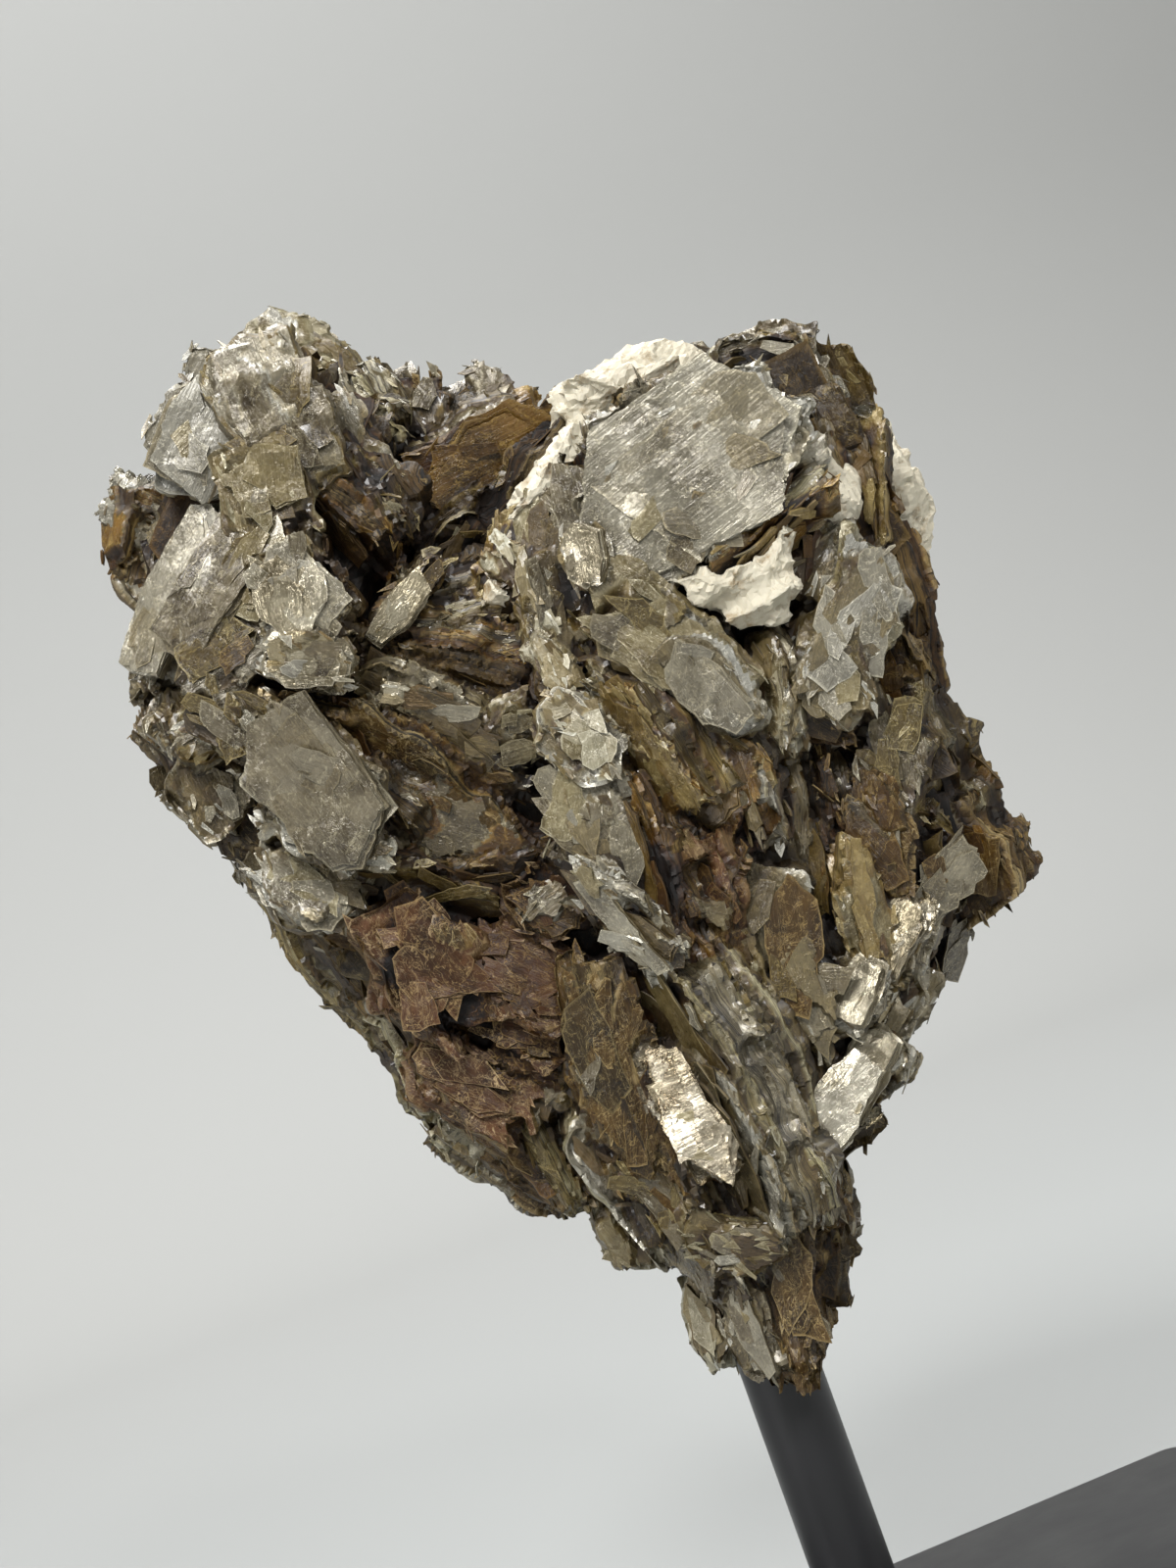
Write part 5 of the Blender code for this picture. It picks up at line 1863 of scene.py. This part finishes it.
@dataclass
class Stand:
    """The powder-coated steel stand: a square-cornered plate and a round post.

    Attributes:
        width, depth, thick: of the plate.
        corner: the plate's corner radius.
        edge: the plate's rounded edge.
        radius: of the post.
        post_top, post_bottom: the heights of the post's ends.
        post_edge: the post's rounded edge.
        peel: the size of the coat's orange peel.
        dust: the size of its duller patches.
    """

    width: float = 100.0
    depth: float = 80.0
    thick: float = 6.0
    corner: float = 3.0
    edge: float = 0.6
    radius: float = 4.0
    post_top: float = 70.0
    post_bottom: float = 6.3
    post_edge: float = 0.5
    peel: float = 0.5
    dust: float = 9.0

    def material(self) -> Material:
        """Build the stand's finish: black powder coat on steel, a fine orange peel with a satin shine."""
        material, tree = new_material("black_powder_coat")
        add = partial(add_node, tree)
        coords = add("ShaderNodeTexCoord", out="Object")
        peel = add("ShaderNodeTexNoise", {"Vector": coords, "Scale": 1 / (self.peel * MM), "Detail": 2})
        dust = add("ShaderNodeTexNoise", {"Vector": coords, "Scale": 1 / (self.dust * MM), "Detail": 6})
        black = {0: dust, 6: linear("0b0b0c"), 7: linear("17171a")}
        shader = {
            "Base Color": add("ShaderNodeMix", black, out=2, data_type="RGBA"),
            "Roughness": add("ShaderNodeMapRange", {0: dust, 1: 0.3, 2: 0.7, 3: 0.34, 4: 0.46}),
            "Normal": add("ShaderNodeBump", {"Height": peel, "Distance": 0.02 * MM, "Strength": 0.5}),
        }
        add("ShaderNodeOutputMaterial", {"Surface": add("ShaderNodeBsdfPrincipled", shader)}, out=None)
        return material

    def rounded(self, reach: float, low: float, high: float, edge: float) -> list[tuple[float, float]]:
        """List the rings of a side with a rounded edge at its bottom and its top.

        Args:
            reach: how far out the side stands.
            low: the height of its bottom.
            high: the height of its top.
            edge: the radius of the edges.

        Returns:
            How far out each ring stands and its height, from the bottom up.
        """
        turns = [radians(-90 + 90 * step / 6) for step in range(7)]
        rows = [(reach - edge + edge * cos(turn), low + edge + edge * sin(turn)) for turn in turns]
        return rows + [(out, high + low - z) for out, z in reversed(rows)]

    def plate(self, material: Material) -> Object:
        """Build the plate with its rounded corners and edges.

        Args:
            material: its finish.

        Returns:
            The piece.
        """
        half_width, half_depth = self.width / 2 - self.corner, self.depth / 2 - self.corner
        ring = []
        for quarter, (sx, sy) in enumerate(((1, 1), (-1, 1), (-1, -1), (1, -1))):
            for step in range(13):
                angle = radians(90 * quarter + 90 * step / 12)
                ring.append((sx * half_width, sy * half_depth, cos(angle), sin(angle)))
        rows = self.rounded(self.corner, 0.0, self.thick, self.edge)
        profile = [[(x + c * r, y + s * r, z) for x, y, c, s in ring] for r, z in rows]
        return self.lofted("stand_plate", profile, material)

    def post(self, material: Material) -> Object:
        """Build the post with its rounded ends.

        Args:
            material: its finish.

        Returns:
            The piece.
        """
        rows = self.rounded(self.radius, self.post_bottom, self.post_top, self.post_edge)
        turn = [2 * pi * i / 96 for i in range(96)]
        profile = [[(r * cos(t), r * sin(t), z) for t in turn] for r, z in rows]
        return self.lofted("stand_post", profile, material)

    def lofted(
        self, name: str, profile: list[list[tuple[float, float, float]]], material: Material
    ) -> Object:
        """Skin rings of points, from the bottom up, and cap both ends.

        Args:
            name: the piece's name.
            profile: rings of points in millimetres, running anticlockwise from above.
            material: its finish.

        Returns:
            The piece.
        """
        shape = bmesh.new()
        rings = [[shape.verts.new(Vector(p) * MM) for p in ring] for ring in profile]
        for low, high in zip(rings, rings[1:]):
            for i in range(len(low)):
                j = (i + 1) % len(low)
                shape.faces.new((low[i], low[j], high[j], high[i])).smooth = True
        shape.faces.new(rings[-1])
        shape.faces.new(reversed(rings[0]))
        mesh = bpy.data.meshes.new(name)
        shape.to_mesh(mesh)
        shape.free()
        mesh.materials.append(material)
        LOG.info("%s built", name)
        return link_object(name, mesh)


# --- studio --------------------------------------------------------------------------------------------


@dataclass
class Studio:
    """The pale floor and backdrop, the soft lights and the camera.

    Attributes:
        focal_pixels: the camera's focal length, for a picture 1600 pixels high.
        picture_height: in pixels.
    """

    focal_pixels: float = 2400.0
    picture_height: float = 1600.0

    def backdrop(self) -> Object:
        """Build the floor and the wall behind it as one curved sheet."""
        sweep = [(-1.6, 0.0), (0.7, 0.0)]
        for step in range(1, 17):
            angle = radians(90 * step / 16)
            sweep.append((0.7 + 0.5 * sin(angle), 0.5 - 0.5 * cos(angle)))
        sweep.append((1.2, 2.4))
        shape = bmesh.new()
        left = [shape.verts.new((-2.2, y, z)) for y, z in sweep]
        right = [shape.verts.new((2.2, y, z)) for y, z in sweep]
        for i in range(len(sweep) - 1):
            shape.faces.new((left[i], right[i], right[i + 1], left[i + 1])).smooth = True
        mesh = bpy.data.meshes.new("backdrop")
        shape.to_mesh(mesh)
        shape.free()
        material, tree = new_material("pale_paper")
        add = partial(add_node, tree)
        # The paper is painted darker towards the front: painted shade on the near floor.
        away = add("ShaderNodeSeparateXYZ", {0: add("ShaderNodeTexCoord", out="Object")}, out=1)
        share = add("ShaderNodeMapRange", {0: away, 1: 0.1, 2: 1.0}, interpolation_type="SMOOTHSTEP")
        paper = {0: share, 6: linear("999b9a"), 7: linear("cacbc9")}
        shader = {"Base Color": add("ShaderNodeMix", paper, out=2, data_type="RGBA"), "Roughness": 0.9}
        add("ShaderNodeOutputMaterial", {"Surface": add("ShaderNodeBsdfPrincipled", shader)}, out=None)
        mesh.materials.append(material)
        return link_object("backdrop", mesh)

    def light(
        self, name: str, at: tuple[float, float, float], to: tuple[float, float, float], size: float, watts: float
    ) -> None:
        """Hang one soft light.

        Args:
            name: the light's name.
            at: its place, in metres.
            to: where it points.
            size: its side, in metres.
            watts: its strength.
        """
        lamp = bpy.data.lights.new(name, "AREA")
        lamp.shape, lamp.size, lamp.energy = "SQUARE", size, watts
        way = Vector(to) - Vector(at)
        turned = way.to_track_quat("-Z", "Y").to_matrix().to_4x4()
        link_object(name, lamp).matrix_world = Matrix.Translation(at) @ turned

    def build(self) -> None:
        """Set up the backdrop, the lights, the world and the camera, which faces the elevation."""
        self.backdrop()
        self.light("key", (-0.20, -0.42, 0.52), (0, 0, 0.10), 0.20, 5.0)
        self.light("window", (0.10, -0.55, 0.40), (0, 0, 0.10), 0.07, 1.6)
        self.light("glint", (-0.45, -0.20, 0.16), (0, 0, 0.10), 0.06, 0.7)
        self.light("top", (0.05, 0.10, 0.75), (0, 0, 0.10), 0.35, 4.2)
        self.light("side", (0.60, -0.25, 0.30), (0, 0, 0.10), 0.20, 1.2)
        self.light("wall", (0.0, 0.35, 1.5), (0, 1.1, 0.45), 1.0, 14.0)
        world = bpy.data.worlds.new("studio")
        world.use_nodes = True
        world.node_tree.nodes.clear()
        sky = add_node(world.node_tree, "ShaderNodeBackground", {"Color": linear("d9d6cc"), "Strength": 0.16})
        add_node(world.node_tree, "ShaderNodeOutputWorld", {"Surface": sky}, out=None)
        bpy.context.scene.world = world
        bpy.context.scene.view_settings.view_transform = "Standard"
        camera = bpy.data.cameras.new("camera")
        camera.sensor_fit, camera.sensor_height = "VERTICAL", 36
        camera.lens = self.focal_pixels / self.picture_height * camera.sensor_height
        camera.clip_start = 0.01
        seat = link_object("camera", camera)
        upright = Matrix(((1, 0, 0), (0, 0, -1), (0, 1, 0))).to_4x4()
        back = Matrix.Translation((0, -ELEVATION.eye_distance, 0))
        seat.matrix_world = ELEVATION.matrix() @ back @ upright
        bpy.context.scene.camera = seat


def main(frame: dict[str, Any]) -> None:
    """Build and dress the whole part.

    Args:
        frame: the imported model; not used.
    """
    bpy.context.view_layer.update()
    Studio().build()

    stand = Stand()
    coat = stand.material()
    for piece, node in ((stand.plate(coat), "base_plate"), (stand.post(coat), "post")):
        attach(piece, "root")
        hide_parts(node)

    lump = Feldspar().build(bpy.data.objects["feldspar_matrix"])
    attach(lump, "root")
    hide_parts("feldspar_matrix")

    for finish in Finish:
        LOG.info("%s built", MicaMaterial(finish).build().name)
    regions = (
        MicaRegion("mica_interior", INTERIOR, leaves=1.5, splinters=30, mass=CleavedMass(cell=0.85)),
        MicaRegion("mica_left_lobe", LEFT_LOBE),
        MicaRegion("mica_valley", VALLEY),
        MicaRegion("mica_right_lobe", RIGHT_LOBE),
        MicaRegion("mica_middle", MIDDLE),
        MicaRegion("mica_lower_left", LOWER_LEFT),
        MicaRegion("mica_lower_right", LOWER_RIGHT),
        MicaRegion("mica_back", BACK, leaves=3.0, mass=CleavedMass(cell=0.85)),
    )
    openness = Openness(book for region in regions for book in region.books)
    mica = [piece for region in regions for piece in region.build(openness)]
    mica.append(FlakeScatter().build(mica))
    for piece in mica:
        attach(piece, "root")
        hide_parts("mica_cluster")


if __name__ == "__main__":
    logging.basicConfig(level=logging.INFO, format="%(name)s: %(message)s")
    main(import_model())
